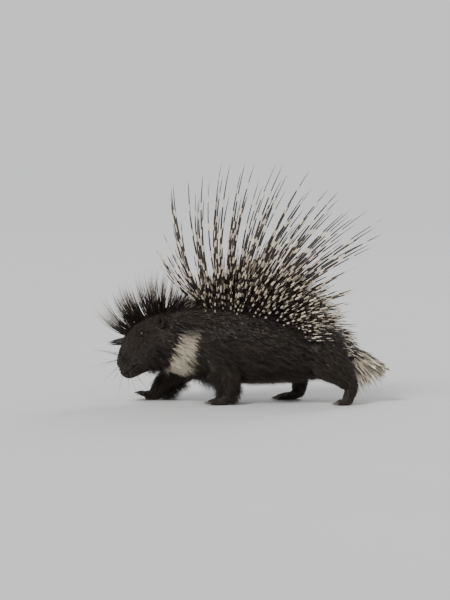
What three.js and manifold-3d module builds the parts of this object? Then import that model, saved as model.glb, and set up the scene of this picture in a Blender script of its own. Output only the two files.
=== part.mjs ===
// A crested porcupine, life size, walking with its head low and its quills raised. Millimetres, +z up.
// It walks towards -x, so its left side faces -y, and its right feet are the ones that reach forward.
import * as THREE from "three";
import { mergeVertices } from "three/addons/utils/BufferGeometryUtils.js";
import Module from "manifold-3d";

const wasm = await Module();
wasm.setup();

const gap = 0.3; // air between two pieces that touch
const rootDepth = 11; // how far a quill or a lock is sunk into the flesh
const flatDepth = 5; // the same for the flat locks of the coat
const flatRise = 0.42; // how steeply a flat lock leaves the skin
const hair = 0.001; // smallest overlap, in cubic millimetres, that counts as a touch
const bodySides = 24;
const ringsPerStation = 2;
const noseDome = 5; // how far the nose bulges beyond the first station, and the tail beyond the last
const tailDome = 6;
const squareness = 0.92; // under 1 the body's section is a little squarer than an ellipse
const pinch = 0.1; // how much narrower the body's section is above its middle than below

// The body from nose to tail: top and bottom of the flesh in side view (x, z), and half its width.
const stations = [
  { name: "noseTip", top: [-352, 143], bottom: [-346, 106], half: 17 },
  { name: "muzzle", top: [-341, 173], bottom: [-327, 85], half: 34 },
  { name: "mouth", top: [-329, 204], bottom: [-302, 80], half: 41 },
  { name: "brow", top: [-310, 231], bottom: [-274, 89], half: 47 },
  { name: "cheeks", top: [-285, 252], bottom: [-250, 99], half: 54 },
  { name: "ears", top: [-257, 267], bottom: [-230, 105], half: 59 },
  { name: "nape", top: [-226, 281], bottom: [-210, 103], half: 65 },
  { name: "neck", top: [-180, 294], bottom: [-178, 95], half: 78 },
  { name: "withers", top: [-125, 307], bottom: [-135, 84], half: 95 },
  { name: "shoulders", top: [-65, 321], bottom: [-78, 77], half: 108 },
  { name: "ribs", top: [0, 333], bottom: [-8, 73], half: 118 },
  { name: "back", top: [65, 338], bottom: [65, 70], half: 124 },
  { name: "loin", top: [135, 327], bottom: [145, 74], half: 124 },
  { name: "hips", top: [200, 292], bottom: [205, 80], half: 115 },
  { name: "rump", top: [258, 248], bottom: [252, 86], half: 98 },
  { name: "tailRoot", top: [310, 206], bottom: [300, 98], half: 70 },
  { name: "tailBase", top: [352, 176], bottom: [342, 112], half: 40 },
  { name: "tailMiddle", top: [394, 151], bottom: [382, 110], half: 26 },
  { name: "tailTip", top: [430, 129], bottom: [422, 106], half: 12 },
];
const at = Object.fromEntries(stations.map((station, index) => [station.name, index]));
const parts = ["head", "neck", "torso", "rump", "tail"];
const ends = [0, at.nape + 0.45, at.withers + 0.1, at.back + 0.2, at.tailRoot + 0.7, at.tailTip];

const smooth = (points) => new THREE.CatmullRomCurve3(points, false, "catmullrom");
const topLine = smooth(stations.map(({ top, half }) => new THREE.Vector3(top[0], half, top[1])));
const bottomLine = smooth(stations.map(({ bottom }) => new THREE.Vector3(bottom[0], 0, bottom[1])));

const radians = THREE.MathUtils.degToRad;

function seeded(seed) {
  let state = seed;
  return () => {
    state = (state * 1664525 + 1013904223) % 4294967296;
    return state / 4294967296;
  };
}

// Solids and geometry

function solidFrom(positions, triangles) {
  const build = (triVerts) =>
    new wasm.Manifold(
      new wasm.Mesh({ numProp: 3, vertProperties: new Float32Array(positions), triVerts }),
    );
  const made = build(new Uint32Array(triangles));
  if (made.volume() > 0) {
    return made;
  }
  const turned = [];
  for (let i = 0; i < triangles.length; i += 3) {
    turned.push(triangles[i], triangles[i + 2], triangles[i + 1]);
  }
  return build(new Uint32Array(turned));
}

function solidOf(geometry) {
  const bare = geometry.index ? geometry.toNonIndexed() : geometry.clone();
  bare.deleteAttribute("normal");
  bare.deleteAttribute("uv");
  const merged = mergeVertices(bare, 1e-3);
  return solidFrom(merged.attributes.position.array, merged.index.array);
}

function geometryOf(solid) {
  const { numProp, numVert, vertProperties, triVerts } = solid.getMesh();
  const positions = new Float32Array(numVert * 3);
  for (let i = 0; i < numVert; i++) {
    positions.set(vertProperties.subarray(i * numProp, i * numProp + 3), i * 3);
  }
  const geometry = new THREE.BufferGeometry();
  geometry.setAttribute("position", new THREE.BufferAttribute(positions, 3));
  geometry.setIndex(new THREE.BufferAttribute(new Uint32Array(triVerts), 1));
  geometry.computeVertexNormals();
  return geometry;
}

const union = (solids) => wasm.Manifold.union(solids);

// One closed body: this drops a scrap that a cut left loose, and fills a hollow that the joining sealed.
function largestBody(solid) {
  return solid.decompose().sort((a, b) => b.volume() - a.volume())[0];
}

// A closed solid through rings of points, with a fan to a point at each end.
function skinRings(rings, first, last) {
  const sides = rings[0].length;
  const points = [first, ...rings.flat(), last];
  const end = points.length - 1;
  const vertex = (ring, side) => 1 + ring * sides + (side % sides);
  const triangles = [];
  for (let side = 0; side < sides; side++) {
    triangles.push(0, vertex(0, side + 1), vertex(0, side));
    for (let ring = 0; ring < rings.length - 1; ring++) {
      const corners = [vertex(ring, side), vertex(ring, side + 1)];
      const next = [vertex(ring + 1, side), vertex(ring + 1, side + 1)];
      triangles.push(corners[0], corners[1], next[1], corners[0], next[1], next[0]);
    }
    triangles.push(end, vertex(rings.length - 1, side), vertex(rings.length - 1, side + 1));
  }
  return solidFrom(
    points.flatMap((point) => point.toArray()),
    triangles,
  );
}

// The body's skin

function sectionAt(station, grow = 0) {
  const share = station / (stations.length - 1);
  const top = topLine.getPoint(share);
  const bottom = bottomLine.getPoint(share);
  const half = top.y + grow;
  top.y = 0;
  const centre = top.clone().add(bottom).multiplyScalar(0.5);
  const up = top.sub(centre);
  up.setLength(up.length() + grow);
  return { centre, up, half };
}

const soften = (value) => Math.sign(value) * Math.abs(value) ** squareness;

// A point of the skin: angle 0 is the top line, 90 the right side (+y), 180 the belly, -90 the left side.
function skinPoint(station, angle, grow = 0) {
  const { centre, up, half } = sectionAt(station, grow);
  const turn = radians(angle);
  const side = soften(Math.sin(turn)) * (1 - pinch * Math.cos(turn)) * half;
  return centre.addScaledVector(up, soften(Math.cos(turn))).add(new THREE.Vector3(0, side, 0));
}

function skinNormal(station, angle) {
  const step = 0.02;
  const lengthwise = skinPoint(station + step, angle).sub(skinPoint(station - step, angle));
  const around = skinPoint(station, angle + 1).sub(skinPoint(station, angle - 1));
  return lengthwise.cross(around).normalize();
}

function bodyLength(from, to, rings, { grow = 0, startDome = 0, endDome = 0 } = {}) {
  const made = Array.from({ length: rings }, (_, ring) => {
    const station = from + ((to - from) * ring) / (rings - 1);
    return Array.from({ length: bodySides }, (_, side) =>
      skinPoint(station, (360 * side) / bodySides, grow),
    );
  });
  const first = sectionAt(from).centre;
  const last = sectionAt(to).centre;
  const ahead = first.clone().sub(sectionAt(from + 0.1).centre).setLength(startDome);
  const behind = last.clone().sub(sectionAt(to - 0.1).centre).setLength(endDome);
  return skinRings(made, first.add(ahead), last.add(behind));
}

// Two neighbours stop short of the plane between them by half a gap each.
function cutBack(station) {
  const step = 0.5;
  const last = stations.length - 1;
  const reach = (line) =>
    line.getPoint((station + step) / last).x - line.getPoint((station - step) / last).x;
  return gap / 2 / Math.min(reach(topLine), reach(bottomLine));
}

// One part's length of the body, or with grow the room it needs, which reaches its neighbours' ends.
function partLength(name, grow = 0) {
  const index = parts.indexOf(name);
  const [from, to] = ends.slice(index, index + 2);
  const first = index === 0;
  const last = index === parts.length - 1;
  const inward = grow > 0 ? -1 : 1;
  return bodyLength(
    first ? from : from + inward * cutBack(from),
    last ? to : to - inward * cutBack(to),
    Math.round((to - from) * ringsPerStation) + 2,
    { grow, startDome: first ? noseDome : 0, endDome: last ? tailDome : 0 },
  );
}

// Rods, quills and locks

// A closed solid along a path of { at, thick, wide }, where thick lies in the side view and wide across it.
function limb(path, sides, grow = 0) {
  const rings = path.map(({ at: centre, thick, wide }, index) => {
    const before = path[Math.max(0, index - 1)].at;
    const after = path[Math.min(path.length - 1, index + 1)].at;
    const forward = after.clone().sub(before).normalize();
    const across = new THREE.Vector3(0, 1, 0).addScaledVector(forward, -forward.y).normalize();
    const upward = forward.clone().cross(across);
    return Array.from({ length: sides }, (_, side) => {
      const turn = (2 * Math.PI * side) / sides;
      return centre
        .clone()
        .addScaledVector(upward, Math.cos(turn) * (thick + grow))
        .addScaledVector(across, Math.sin(turn) * (wide + grow));
    });
  });
  const start = path[0];
  const end = path[path.length - 1];
  const dome = (from, to, reach) => to.clone().add(to.clone().sub(from).setLength(reach));
  return skinRings(
    rings,
    dome(path[1].at, start.at, start.thick * 0.5),
    dome(path[path.length - 2].at, end.at, end.thick * 0.5),
  );
}

// A quill, lock, claw or whisker: it leaves its root along aim, and its tip ends drawn over by bend.
// wide and thick are its half sizes across, full at the share of its length called belly.
function spine(plan, grow = 0) {
  const { root, aim, length, bend, thick, wide = thick, sides = 3, belly = 0.35, rings = 3 } = plan;
  const { reach = 1 } = plan;
  const across = bend.lengthSq() > 1e-6 ? bend.clone() : new THREE.Vector3(0, 1, 0.01);
  across.cross(aim).normalize();
  const over = across.clone().cross(aim).normalize();
  const pointAt = (share) =>
    root
      .clone()
      .addScaledVector(aim, length * share)
      .addScaledVector(bend, share * share);
  const made = Array.from({ length: rings }, (_, ring) => {
    const share = ring / rings;
    const swell = share < belly ? 0.75 + (0.25 * share) / belly : (1 - share) / (1 - belly);
    return Array.from({ length: sides }, (_, side) => {
      const turn = (2 * Math.PI * side) / sides;
      return pointAt(share * reach)
        .addScaledVector(across, Math.cos(turn) * (wide * swell + grow))
        .addScaledVector(over, Math.sin(turn) * (thick * swell + grow));
    });
  });
  return skinRings(made, pointAt(0), pointAt(reach));
}

// Spines that would touch another node end short of it, or are left out where that is not enough.
function clearOf(plans, others) {
  const clear = (plan) => spine(plan, gap).intersect(others).volume() < hair;
  const shortened = plans.map((plan) =>
    [1, 0.85, 0.7, 0.55].map((reach) => ({ ...plan, reach })).find(clear),
  );
  return shortened.filter((plan) => plan).map((plan) => spine(plan));
}

// A direction in the side view, in degrees from +x (backwards) through 90 (up), leaning right by lean.
function heading(angle, lean = 0) {
  const level = Math.cos(radians(lean));
  return new THREE.Vector3(
    Math.cos(radians(angle)) * level,
    Math.sin(radians(lean)),
    Math.sin(radians(angle)) * level,
  );
}

// A value that may change along a patch: one number, or several spread evenly from its start to its end.
function along(values, share) {
  if (!Array.isArray(values)) {
    return values;
  }
  const place = share * (values.length - 1);
  const before = Math.min(Math.floor(place), values.length - 2);
  return THREE.MathUtils.lerp(values[before], values[before + 1], place - before);
}

// A root keeps a little way off the planes between the body's parts.
function offTheCuts(station) {
  const room = 0.14;
  const cut = ends.slice(1, -1).find((end) => Math.abs(station - end) < room);
  return cut ? cut + Math.sign(station - cut) * room : station;
}

// Spines over a patch of the skin, in staggered rows from one station to another.
// middle is the angle the patch is centred on, and spread how far it goes to each side of it.
function field(patch) {
  const random = seeded(patch.seed);
  const jitter = () => random() - 0.5;
  const plans = [];
  for (let row = 0; row < patch.rows; row++) {
    const share = patch.rows > 1 ? row / (patch.rows - 1) : 0;
    const count = Math.round(along(patch.across, share));
    for (let place = 0; place < count; place++) {
      const stagger = (row % 2 ? 0.25 : -0.25) + 0.4 * jitter();
      const aside = THREE.MathUtils.clamp((2 * (place + 0.5 + stagger)) / count - 1, -1, 1);
      const station = offTheCuts(along(patch.stations, share) + patch.loose * jitter());
      const angle = (patch.middle ?? 0) + aside * along(patch.spread, share);
      const normal = skinNormal(station, angle);
      const lean = along(patch.lean, share) * aside + 4 * jitter();
      const droop = along(patch.droop ?? 0, share) * Math.abs(aside);
      const pitch = along(patch.pitch, share) + droop + patch.unruly * jitter();
      const short = 1 - patch.sideShorter * Math.abs(aside);
      const length = along(patch.length, share) * short * (1 - patch.lengthSpread * random());
      const depth = patch.flat ? flatDepth : rootDepth;
      const upright = heading(pitch, lean);
      const flat = upright.clone().addScaledVector(normal, -normal.dot(upright)).normalize();
      flat.addScaledVector(normal, flatRise).normalize();
      const curl = along(patch.curl, share) * length;
      plans.push({
        part: parts[ends.findLastIndex((end) => end <= station)],
        root: skinPoint(station, angle).addScaledVector(normal, -depth),
        aim: patch.flat ? flat : upright,
        length: length + depth,
        bend: patch.flat
          ? normal.clone().multiplyScalar(-curl)
          : heading(pitch - 90, lean).multiplyScalar(curl),
        thick: patch.thick,
        wide: patch.wide,
        sides: patch.sides,
        rings: patch.rings,
      });
    }
  }
  return plans;
}

const quills = {};

// The long, slender quills that stand up in a fan.
quills.long = field({
  seed: 11,
  stations: [at.withers + 0.5, at.loin + 0.1],
  rows: 9,
  across: [4, 6, 5],
  spread: [26, 34, 34],
  pitch: [120, 44],
  lean: [24, 34, 34],
  length: [385, 430, 395],
  curl: [0.24, 0.16, 0.13],
  sideShorter: 0.18,
  lengthSpread: 0.18,
  unruly: 8,
  loose: 0.14,
  thick: 2.6,
  sides: 3,
  rings: 3,
});

// The few at the front that bend right over the neck.
quills.fore = field({
  seed: 17,
  stations: [at.withers + 0.4, at.withers + 0.65],
  rows: 2,
  across: [3, 3],
  spread: [24, 28],
  pitch: [150, 138],
  lean: [22, 26],
  length: [215, 230],
  curl: [0.34, 0.3],
  sideShorter: 0.1,
  lengthSpread: 0.12,
  unruly: 5,
  loose: 0.1,
  thick: 2.4,
  sides: 3,
  rings: 3,
});

// The stout, shorter quills among and behind them, down the flanks and over the rump.
quills.stout = field({
  seed: 23,
  stations: [at.withers + 0.7, at.hips + 0.1],
  rows: 8,
  across: [5, 8, 7],
  spread: [44, 60, 66],
  pitch: [112, 66, 22],
  lean: [40, 52, 46],
  length: [160, 245, 215],
  curl: [0.16, 0.08],
  sideShorter: 0.3,
  lengthSpread: 0.25,
  unruly: 9,
  loose: 0.16,
  thick: 3.4,
  sides: 3,
  rings: 3,
});
quills.rump = field({
  seed: 29,
  stations: [at.hips - 0.2, at.tailRoot + 0.45],
  rows: 7,
  across: [9, 9, 7],
  spread: [84, 78, 72],
  pitch: [14, -2, -28],
  lean: [34, 22, 12],
  droop: [-14, -8],
  length: [130, 105, 72],
  curl: [-0.04, 0.02],
  sideShorter: 0.2,
  lengthSpread: 0.3,
  unruly: 12,
  loose: 0.16,
  thick: 3,
  wide: 4,
  sides: 3,
  rings: 2,
});
quills.tail = field({
  seed: 43,
  stations: [at.tailBase + 0.05, at.tailTip - 0.3],
  rows: 4,
  middle: 180,
  across: [8, 7, 6],
  spread: [150, 160, 160],
  pitch: [-52, -46, -34],
  droop: [24, 14],
  lean: [-14, -10],
  length: [84, 76, 48],
  curl: 0.03,
  sideShorter: 0.2,
  lengthSpread: 0.25,
  unruly: 12,
  loose: 0.16,
  thick: 3,
  sides: 3,
  rings: 2,
});

// The crest: long bristles that rise from the head and the nape and turn up at their tips.
function tuft(patch) {
  return field({
    sideShorter: 0.22,
    lengthSpread: 0.2,
    unruly: 8,
    loose: 0.08,
    thick: 1.7,
    wide: 3.4,
    sides: 3,
    rings: 3,
    ...patch,
  });
}

const crest = {
  brow: [
    ...tuft({
      seed: 30,
      stations: at.mouth - 0.15,
      rows: 1,
      across: 3,
      spread: 22,
      pitch: 192,
      lean: 14,
      length: 46,
      curl: 0.2,
      wide: 5,
    }),
    ...tuft({
      seed: 31,
      stations: [at.mouth + 0.15, at.brow - 0.3],
      rows: 2,
      across: 4,
      spread: [20, 24],
      pitch: [163, 152],
      lean: [20, 26],
      length: [128, 142],
      curl: [0.36, 0.4],
    }),
  ],
  forehead: tuft({
    seed: 33,
    stations: [at.brow + 0.25, at.cheeks + 0.45],
    rows: 3,
    across: 5,
    spread: [26, 32],
    pitch: [146, 132],
    lean: [26, 30],
    length: [134, 126],
    curl: [0.42, 0.34],
  }),
  nape: tuft({
    seed: 35,
    stations: [at.ears + 0.05, at.nape + 0.3],
    rows: 3,
    across: 5,
    spread: [32, 36],
    pitch: [124, 98],
    lean: [26, 30],
    length: [146, 134],
    curl: [0.26, 0.2],
  }),
  neck: tuft({
    seed: 37,
    stations: [at.nape + 0.72, at.withers + 0.35],
    rows: 4,
    across: [6, 7],
    spread: [38, 46],
    pitch: [96, 24],
    lean: [26, 22],
    length: [98, 58, 44],
    curl: [0.2, 0.12],
    thick: 2,
    wide: 6,
  }),
};

// The bristly coat: flat locks that lie along the body, a little down its sides.
function coat(patch) {
  return field({
    flat: true,
    lean: 0,
    curl: 0.2,
    sideShorter: 0,
    lengthSpread: 0.2,
    unruly: 10,
    loose: 0.3,
    thick: 2.2,
    wide: 8,
    sides: 4,
    rings: 2,
    ...patch,
  });
}

const sides = { left: -1, right: 1 };
const bothSides = (patchOf) => Object.values(sides).flatMap((side) => coat(patchOf(side)));

const coats = [
  ...bothSides((side) => ({
    seed: 51,
    stations: [at.cheeks + 0.3, at.nape - 0.1],
    rows: 2,
    middle: side * 116,
    spread: 22,
    across: 2,
    pitch: -24,
    length: 34,
    wide: 6,
  })),
  ...coat({
    seed: 52,
    stations: [at.brow + 0.4, at.ears + 0.9],
    rows: 4,
    middle: 180,
    spread: 30,
    across: 2,
    flat: false,
    pitch: [-38, -58],
    lean: -12,
    length: 34,
    wide: 5,
  }),
  ...bothSides((side) => ({
    seed: 53,
    stations: [at.nape + 0.75, at.withers - 0.3],
    rows: 2,
    middle: side * 104,
    spread: 44,
    across: 4,
    pitch: -26,
    length: 46,
  })),
  ...bothSides((side) => ({
    seed: 55,
    stations: [at.withers + 0.5, at.loin + 0.2],
    rows: 4,
    middle: side * 96,
    spread: 32,
    across: 3,
    pitch: [-26, -12],
    length: [52, 62],
  })),
  ...coat({
    seed: 57,
    stations: [at.withers + 0.4, at.ribs - 0.2],
    rows: 4,
    middle: 180,
    spread: 34,
    across: 3,
    flat: false,
    pitch: -44,
    lean: -14,
    length: [64, 50],
    wide: 7,
  }),
  ...coat({
    seed: 59,
    stations: [at.ribs + 0.2, at.hips - 0.2],
    rows: 5,
    middle: 180,
    spread: 36,
    across: 2,
    flat: false,
    pitch: -30,
    lean: -14,
    length: 34,
    wide: 7,
  }),
];

// Legs

const legCut = 108; // height of the thin cut between a leg and the torso

// Each leg runs from inside the body to the ball of its foot: x, z, half thickness from front to back
// and half width.
// The foot's lowest rings dip below the floor, which cuts its sole flat.
const legs = {
  front_left: {
    side: -1,
    set: 74,
    path: [
      [-75, 200, 52, 33],
      [-58, 150, 44, 33],
      [-26, 105, 38, 29],
      [-16, 70, 31, 25],
      [-20, 38, 26, 21],
      [-34, 15, 20, 23],
      [-56, 9, 13, 25],
    ],
    toes: { count: 4, length: 22, pitch: -3 },
    fringes: [{ count: 5, from: 0.5, to: 0.8, edge: 0.8, drop: 0.3, pitch: -48 }],
  },
  front_right: {
    side: 1,
    set: 76,
    path: [
      [-105, 195, 54, 33],
      [-124, 150, 52, 33],
      [-152, 107, 47, 29],
      [-190, 71, 37, 24],
      [-225, 35, 27, 20],
      [-244, 15, 20, 22],
      [-266, 12, 15, 24],
    ],
    toes: { count: 4, length: 26, pitch: 16 },
    fringes: [
      { count: 6, from: 0.5, to: 0.8, edge: 0.8, drop: 0.3, pitch: -48 },
      { count: 4, from: 0.45, to: 0.62, edge: -0.74, drop: -0.3, pitch: -122 },
    ],
  },
  hind_left: {
    side: -1,
    set: 82,
    path: [
      [255, 185, 66, 34],
      [280, 135, 60, 36],
      [317, 94, 40, 28],
      [342, 60, 23, 20],
      [341, 34, 18, 17],
      [333, 12, 16, 20],
      [321, 8, 11, 21],
    ],
    toes: { count: 5, length: 16, pitch: -4 },
  },
  hind_right: {
    side: 1,
    set: 82,
    path: [
      [195, 185, 66, 34],
      [178, 135, 60, 36],
      [184, 95, 42, 28],
      [194, 62, 27, 21],
      [192, 28, 20, 19],
      [176, 12, 15, 21],
      [148, 8, 12, 23],
    ],
    toes: { count: 5, length: 20, pitch: -3 },
  },
};
const toeShape = {
  spread: 32, // degrees between the outer toes
  half: 6.5,
  sunk: 6, // how far a toe starts inside the ball of the foot
  apart: 1.55, // from outer toe to outer toe, in half widths of the foot
  middle: 1.1, // the middle toes' length against the outer ones', which lose a part of shorter
  shorter: 1.2,
};
const claw = { length: 17, half: 3, sunk: 4, from: 0.85, droop: 3, raisedDroop: 7 };
const fringe = { length: 30, wide: 6, thick: 2, apart: 7 };

function legPath({ side, set, path }) {
  return path.map(([x, z, thick, wide]) => ({
    at: new THREE.Vector3(x, side * set, z),
    thick,
    wide,
  }));
}

// Toes fan out from the ball of the foot, each with a claw that curves down.
function toesOf({ side, set, path, toes }) {
  const [x, z, , wide] = path[path.length - 1];
  const made = [];
  for (let toe = 0; toe < toes.count; toe++) {
    const place = toe / (toes.count - 1) - 0.5;
    const offset = place * toeShape.apart * wide;
    const root = new THREE.Vector3(x + toeShape.sunk, side * set + offset, z);
    const aim = heading(180 - toes.pitch, place * toeShape.spread);
    const reach = toes.length * (toeShape.middle - toeShape.shorter * place * place) + toeShape.sunk;
    const pointAt = (share) => root.clone().addScaledVector(aim, share * reach);
    const half = toeShape.half;
    made.push(
      limb(
        [
          { at: pointAt(0), thick: half + 2, wide: half },
          { at: pointAt(0.55), thick: half + 1, wide: half },
          { at: pointAt(1), thick: half, wide: half - 1 },
        ],
        6,
      ),
    );
    made.push(
      spine({
        root: pointAt(claw.from),
        aim,
        rings: 2,
        length: claw.length + claw.sunk,
        bend: new THREE.Vector3(0, 0, toes.pitch > 0 ? -claw.raisedDroop : -claw.droop),
        thick: claw.half,
        sides: 4,
        belly: 0.1,
      }),
    );
  }
  return made;
}

// Hair that hangs from the rear or the front edge of a leg. edge and drop place its roots: shares of the
// leg's half thickness, backwards and down from its middle.
function fringeOf({ side, set, path, fringes = [] }) {
  const line = smooth(path.map(([x, z, thick]) => new THREE.Vector3(x, thick, z)));
  const made = [];
  for (const { count, from, to, edge, drop, pitch } of fringes) {
    for (let lock = 0; lock < count; lock++) {
      const centre = line.getPoint(from + ((to - from) * lock) / (count - 1));
      const half = centre.y - flatDepth;
      const offset = lock % 2 ? fringe.apart : -fringe.apart;
      made.push(
        spine({
          root: new THREE.Vector3(centre.x + half * edge, side * (set + offset), centre.z - half * drop),
          aim: heading(pitch),
          length: fringe.length,
          bend: new THREE.Vector3(0, 0, -4),
          thick: fringe.thick,
          wide: fringe.wide,
          sides: 4,
        }),
      );
    }
  }
  return made;
}

const block = (width, depth, height) => new THREE.BoxGeometry(width, depth, height);
const floor = solidOf(block(2000, 1000, 200).translate(0, 0, -100));
const above = (height) => solidOf(block(2000, 1000, 1000).translate(0, 0, 500 + height));

function legSolids(leg) {
  const whole = limb(legPath(leg), 12);
  const ends = union([...toesOf(leg), ...fringeOf(leg)]);
  return {
    upper: whole.intersect(above(legCut + gap)),
    lower: largestBody(whole.subtract(above(legCut)).add(ends).subtract(floor)),
    room: limb(legPath(leg), 12, gap).subtract(above(legCut + gap)),
  };
}

// Head

const eye = { station: at.cheeks - 0.12, angle: 63, radius: 9, depth: 4 };
const ear = { station: at.nape - 0.12, angle: 62, height: 40, width: 30, deep: 18, wall: 3 };
const mouthLine = { from: 0.35, to: at.mouth + 0.3, corner: 118, lip: 4, slit: 1.3 };
const nostril = { station: 0.5, angle: 46, length: 13, half: 2.4 };

// Whiskers of one side: direction in the side view, and length.
const whiskers = {
  station: at.muzzle + 0.35,
  angles: [82, 112],
  half: 0.75,
  left: [
    [160, 122],
    [186, 128],
    [216, 112],
    [252, 104],
    [290, 108],
    [316, 118],
  ],
  right: [
    [172, 128],
    [200, 116],
    [234, 104],
    [270, 106],
    [304, 112],
    [328, 110],
  ],
};

const eyeCentre = (side) =>
  skinPoint(eye.station, side * eye.angle).addScaledVector(
    skinNormal(eye.station, side * eye.angle),
    -eye.depth,
  );

function ball(radius, centre, detail = 12) {
  return solidOf(
    new THREE.SphereGeometry(radius, detail, Math.round(detail * 0.7)).translate(...centre.toArray()),
  );
}

// Lids stand round the eyeball as a ring, longer than it is tall.
function lidsOf(side) {
  const outward = skinNormal(eye.station, side * eye.angle);
  const ring = new THREE.TorusGeometry(eye.radius + 0.5, 3, 5, 14);
  ring.scale(1.18, 0.86, 1);
  ring.applyQuaternion(
    new THREE.Quaternion().setFromUnitVectors(new THREE.Vector3(0, 0, 1), outward),
  );
  const centre = eyeCentre(side).addScaledVector(outward, 4);
  return solidOf(ring.translate(...centre.toArray()));
}

function mouthPath(sink) {
  const steps = 12;
  return Array.from({ length: steps + 1 }, (_, step) => {
    const aside = (2 * step) / steps - 1;
    const station = mouthLine.from + (mouthLine.to - mouthLine.from) * Math.abs(aside) ** 1.6;
    const angle = 180 - Math.sign(aside) * (180 - mouthLine.corner) * Math.abs(aside) ** 0.8;
    return skinPoint(station, angle).addScaledVector(skinNormal(station, angle), -sink);
  });
}

function rod(points, radius, sides = 5) {
  const curve = new THREE.CatmullRomCurve3(points);
  const circle = new THREE.Shape().absarc(0, 0, radius, 0, 2 * Math.PI);
  const section = new THREE.Shape(circle.getPoints(sides).slice(0, sides));
  return solidOf(
    new THREE.ExtrudeGeometry(section, {
      steps: points.length - 1,
      bevelEnabled: false,
      extrudePath: curve,
    }),
  );
}

// A round, upright cup, open to the front and outwards, and set into the side of the head.
function earOf(side) {
  const shell = (shrink, shift) =>
    new THREE.SphereGeometry(1, 10, 8)
      .scale(ear.width / 2 - shrink, ear.deep / 2 - shrink, ear.height / 2 - shrink)
      .translate(-shift * 0.4, side * shift, 0);
  const tilt = new THREE.Euler(radians(-side * 30), radians(22), radians(side * 34));
  const centre = skinPoint(ear.station, side * ear.angle)
    .addScaledVector(skinNormal(ear.station, side * ear.angle), 5)
    .add(new THREE.Vector3(4, 0, 9));
  const turn = new THREE.Matrix4().makeRotationFromEuler(tilt).setPosition(centre);
  const placed = (shape) => solidOf(shape.applyMatrix4(turn));
  return placed(shell(0, 0)).subtract(placed(shell(ear.wall, 7)));
}

function nostrilOf(side) {
  const place = (angle) =>
    skinPoint(nostril.station, side * angle).addScaledVector(
      skinNormal(nostril.station, side * angle),
      1,
    );
  const from = place(nostril.angle - 16);
  const to = place(nostril.angle + 24);
  return spine({
    root: from,
    aim: to.clone().sub(from).normalize(),
    length: nostril.length,
    bend: new THREE.Vector3(4, 0, 0),
    thick: nostril.half,
    sides: 6,
    belly: 0.5,
  });
}

function whiskersOf(side, plans) {
  return plans.map(([pitch, length], index) => {
    const share = index / (plans.length - 1);
    const angle = side * along(whiskers.angles, share);
    const normal = skinNormal(whiskers.station, angle);
    return {
      part: "head",
      root: skinPoint(whiskers.station, angle).addScaledVector(normal, -rootDepth / 2),
      aim: heading(pitch, side * 34),
      length,
      bend: new THREE.Vector3(4, 0, -10),
      thick: whiskers.half,
      belly: 0.5,
    };
  });
}

const legParts = Object.fromEntries(
  Object.entries(legs).map(([name, leg]) => [name, legSolids(leg)]),
);
const legPieces = (piece, where = "") =>
  union(
    Object.entries(legParts)
      .filter(([name]) => name.startsWith(where))
      .map(([, made]) => made[piece]),
  );
const legRooms = legPieces("room");
const pairOf = (make) => union(Object.values(sides).map(make));
const eyeRooms = pairOf((side) => ball(eye.radius + gap, eyeCentre(side)));
const ears = pairOf(earOf);

const bare = {
  head: partLength("head")
    .add(rod(mouthPath(1), mouthLine.lip))
    .add(pairOf(lidsOf))
    .subtract(rod(mouthPath(-2.5), mouthLine.slit))
    .subtract(pairOf(nostrilOf))
    .subtract(eyeRooms),
  neck: partLength("neck").subtract(legRooms),
  torso: partLength("torso")
    .add(legPieces("upper", "front"))
    .subtract(partLength("neck", gap))
    .subtract(legRooms),
  rump: partLength("rump")
    .add(legPieces("upper", "hind"))
    .subtract(partLength("torso", gap))
    .subtract(partLength("tail", gap))
    .subtract(legRooms),
  tail: partLength("tail"),
};
const spines = [
  ...Object.values(crest).flat(),
  ...Object.values(quills).flat(),
  ...coats,
  ...whiskersOf(sides.left, whiskers.left),
  ...whiskersOf(sides.right, whiskers.right),
];

const whole = {};
for (const name of parts) {
  const others = parts.filter((other) => other !== name).map((other) => whole[other] ?? bare[other]);
  const own = spines.filter(({ part }) => part === name);
  const room = union([...others, legPieces("lower"), ears, eyeRooms]);
  whole[name] = union([bare[name], ...clearOf(own, room)]);
}
for (const [name, { lower }] of Object.entries(legParts)) {
  whole[name + "_leg"] = lower;
}
for (const [name, side] of Object.entries(sides)) {
  whole["eye_" + name] = ball(eye.radius, eyeCentre(side));
  whole["ear_" + name] = earOf(side).subtract(whole.head);
}

const finishes = {
  bristle: { color: 0x1a1613, roughness: 0.75 },
  quill: { color: 0x8f8778, roughness: 0.45 },
  skin: { color: 0x3b302a, roughness: 0.6 },
  eye: { color: 0x0b0806, roughness: 0.12 },
};
const finishOf = {
  torso: "quill",
  rump: "quill",
  tail: "quill",
  eye_left: "eye",
  eye_right: "eye",
  ear_left: "skin",
  ear_right: "skin",
};

const porcupine = new THREE.Group();
for (const [name, solid] of Object.entries(whole)) {
  const material = new THREE.MeshStandardMaterial(finishes[finishOf[name] ?? "bristle"]);
  const mesh = new THREE.Mesh(geometryOf(largestBody(solid)), material);
  mesh.name = name;
  porcupine.add(mesh);
}

// The frame's origin is on the floor, under the middle of the animal's box.
const middle = new THREE.Box3().setFromObject(porcupine).getCenter(new THREE.Vector3());
porcupine.position.set(-middle.x, -middle.y, 0);

export default porcupine;
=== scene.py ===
# A crested porcupine, life size, walking with its head low and its quills raised.
# The tables are in millimetres, as in the part's own source. Every piece ends up in metres, in its frame.
import math
import bmesh
import bpy
import numpy as np
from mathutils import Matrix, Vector, kdtree


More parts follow.
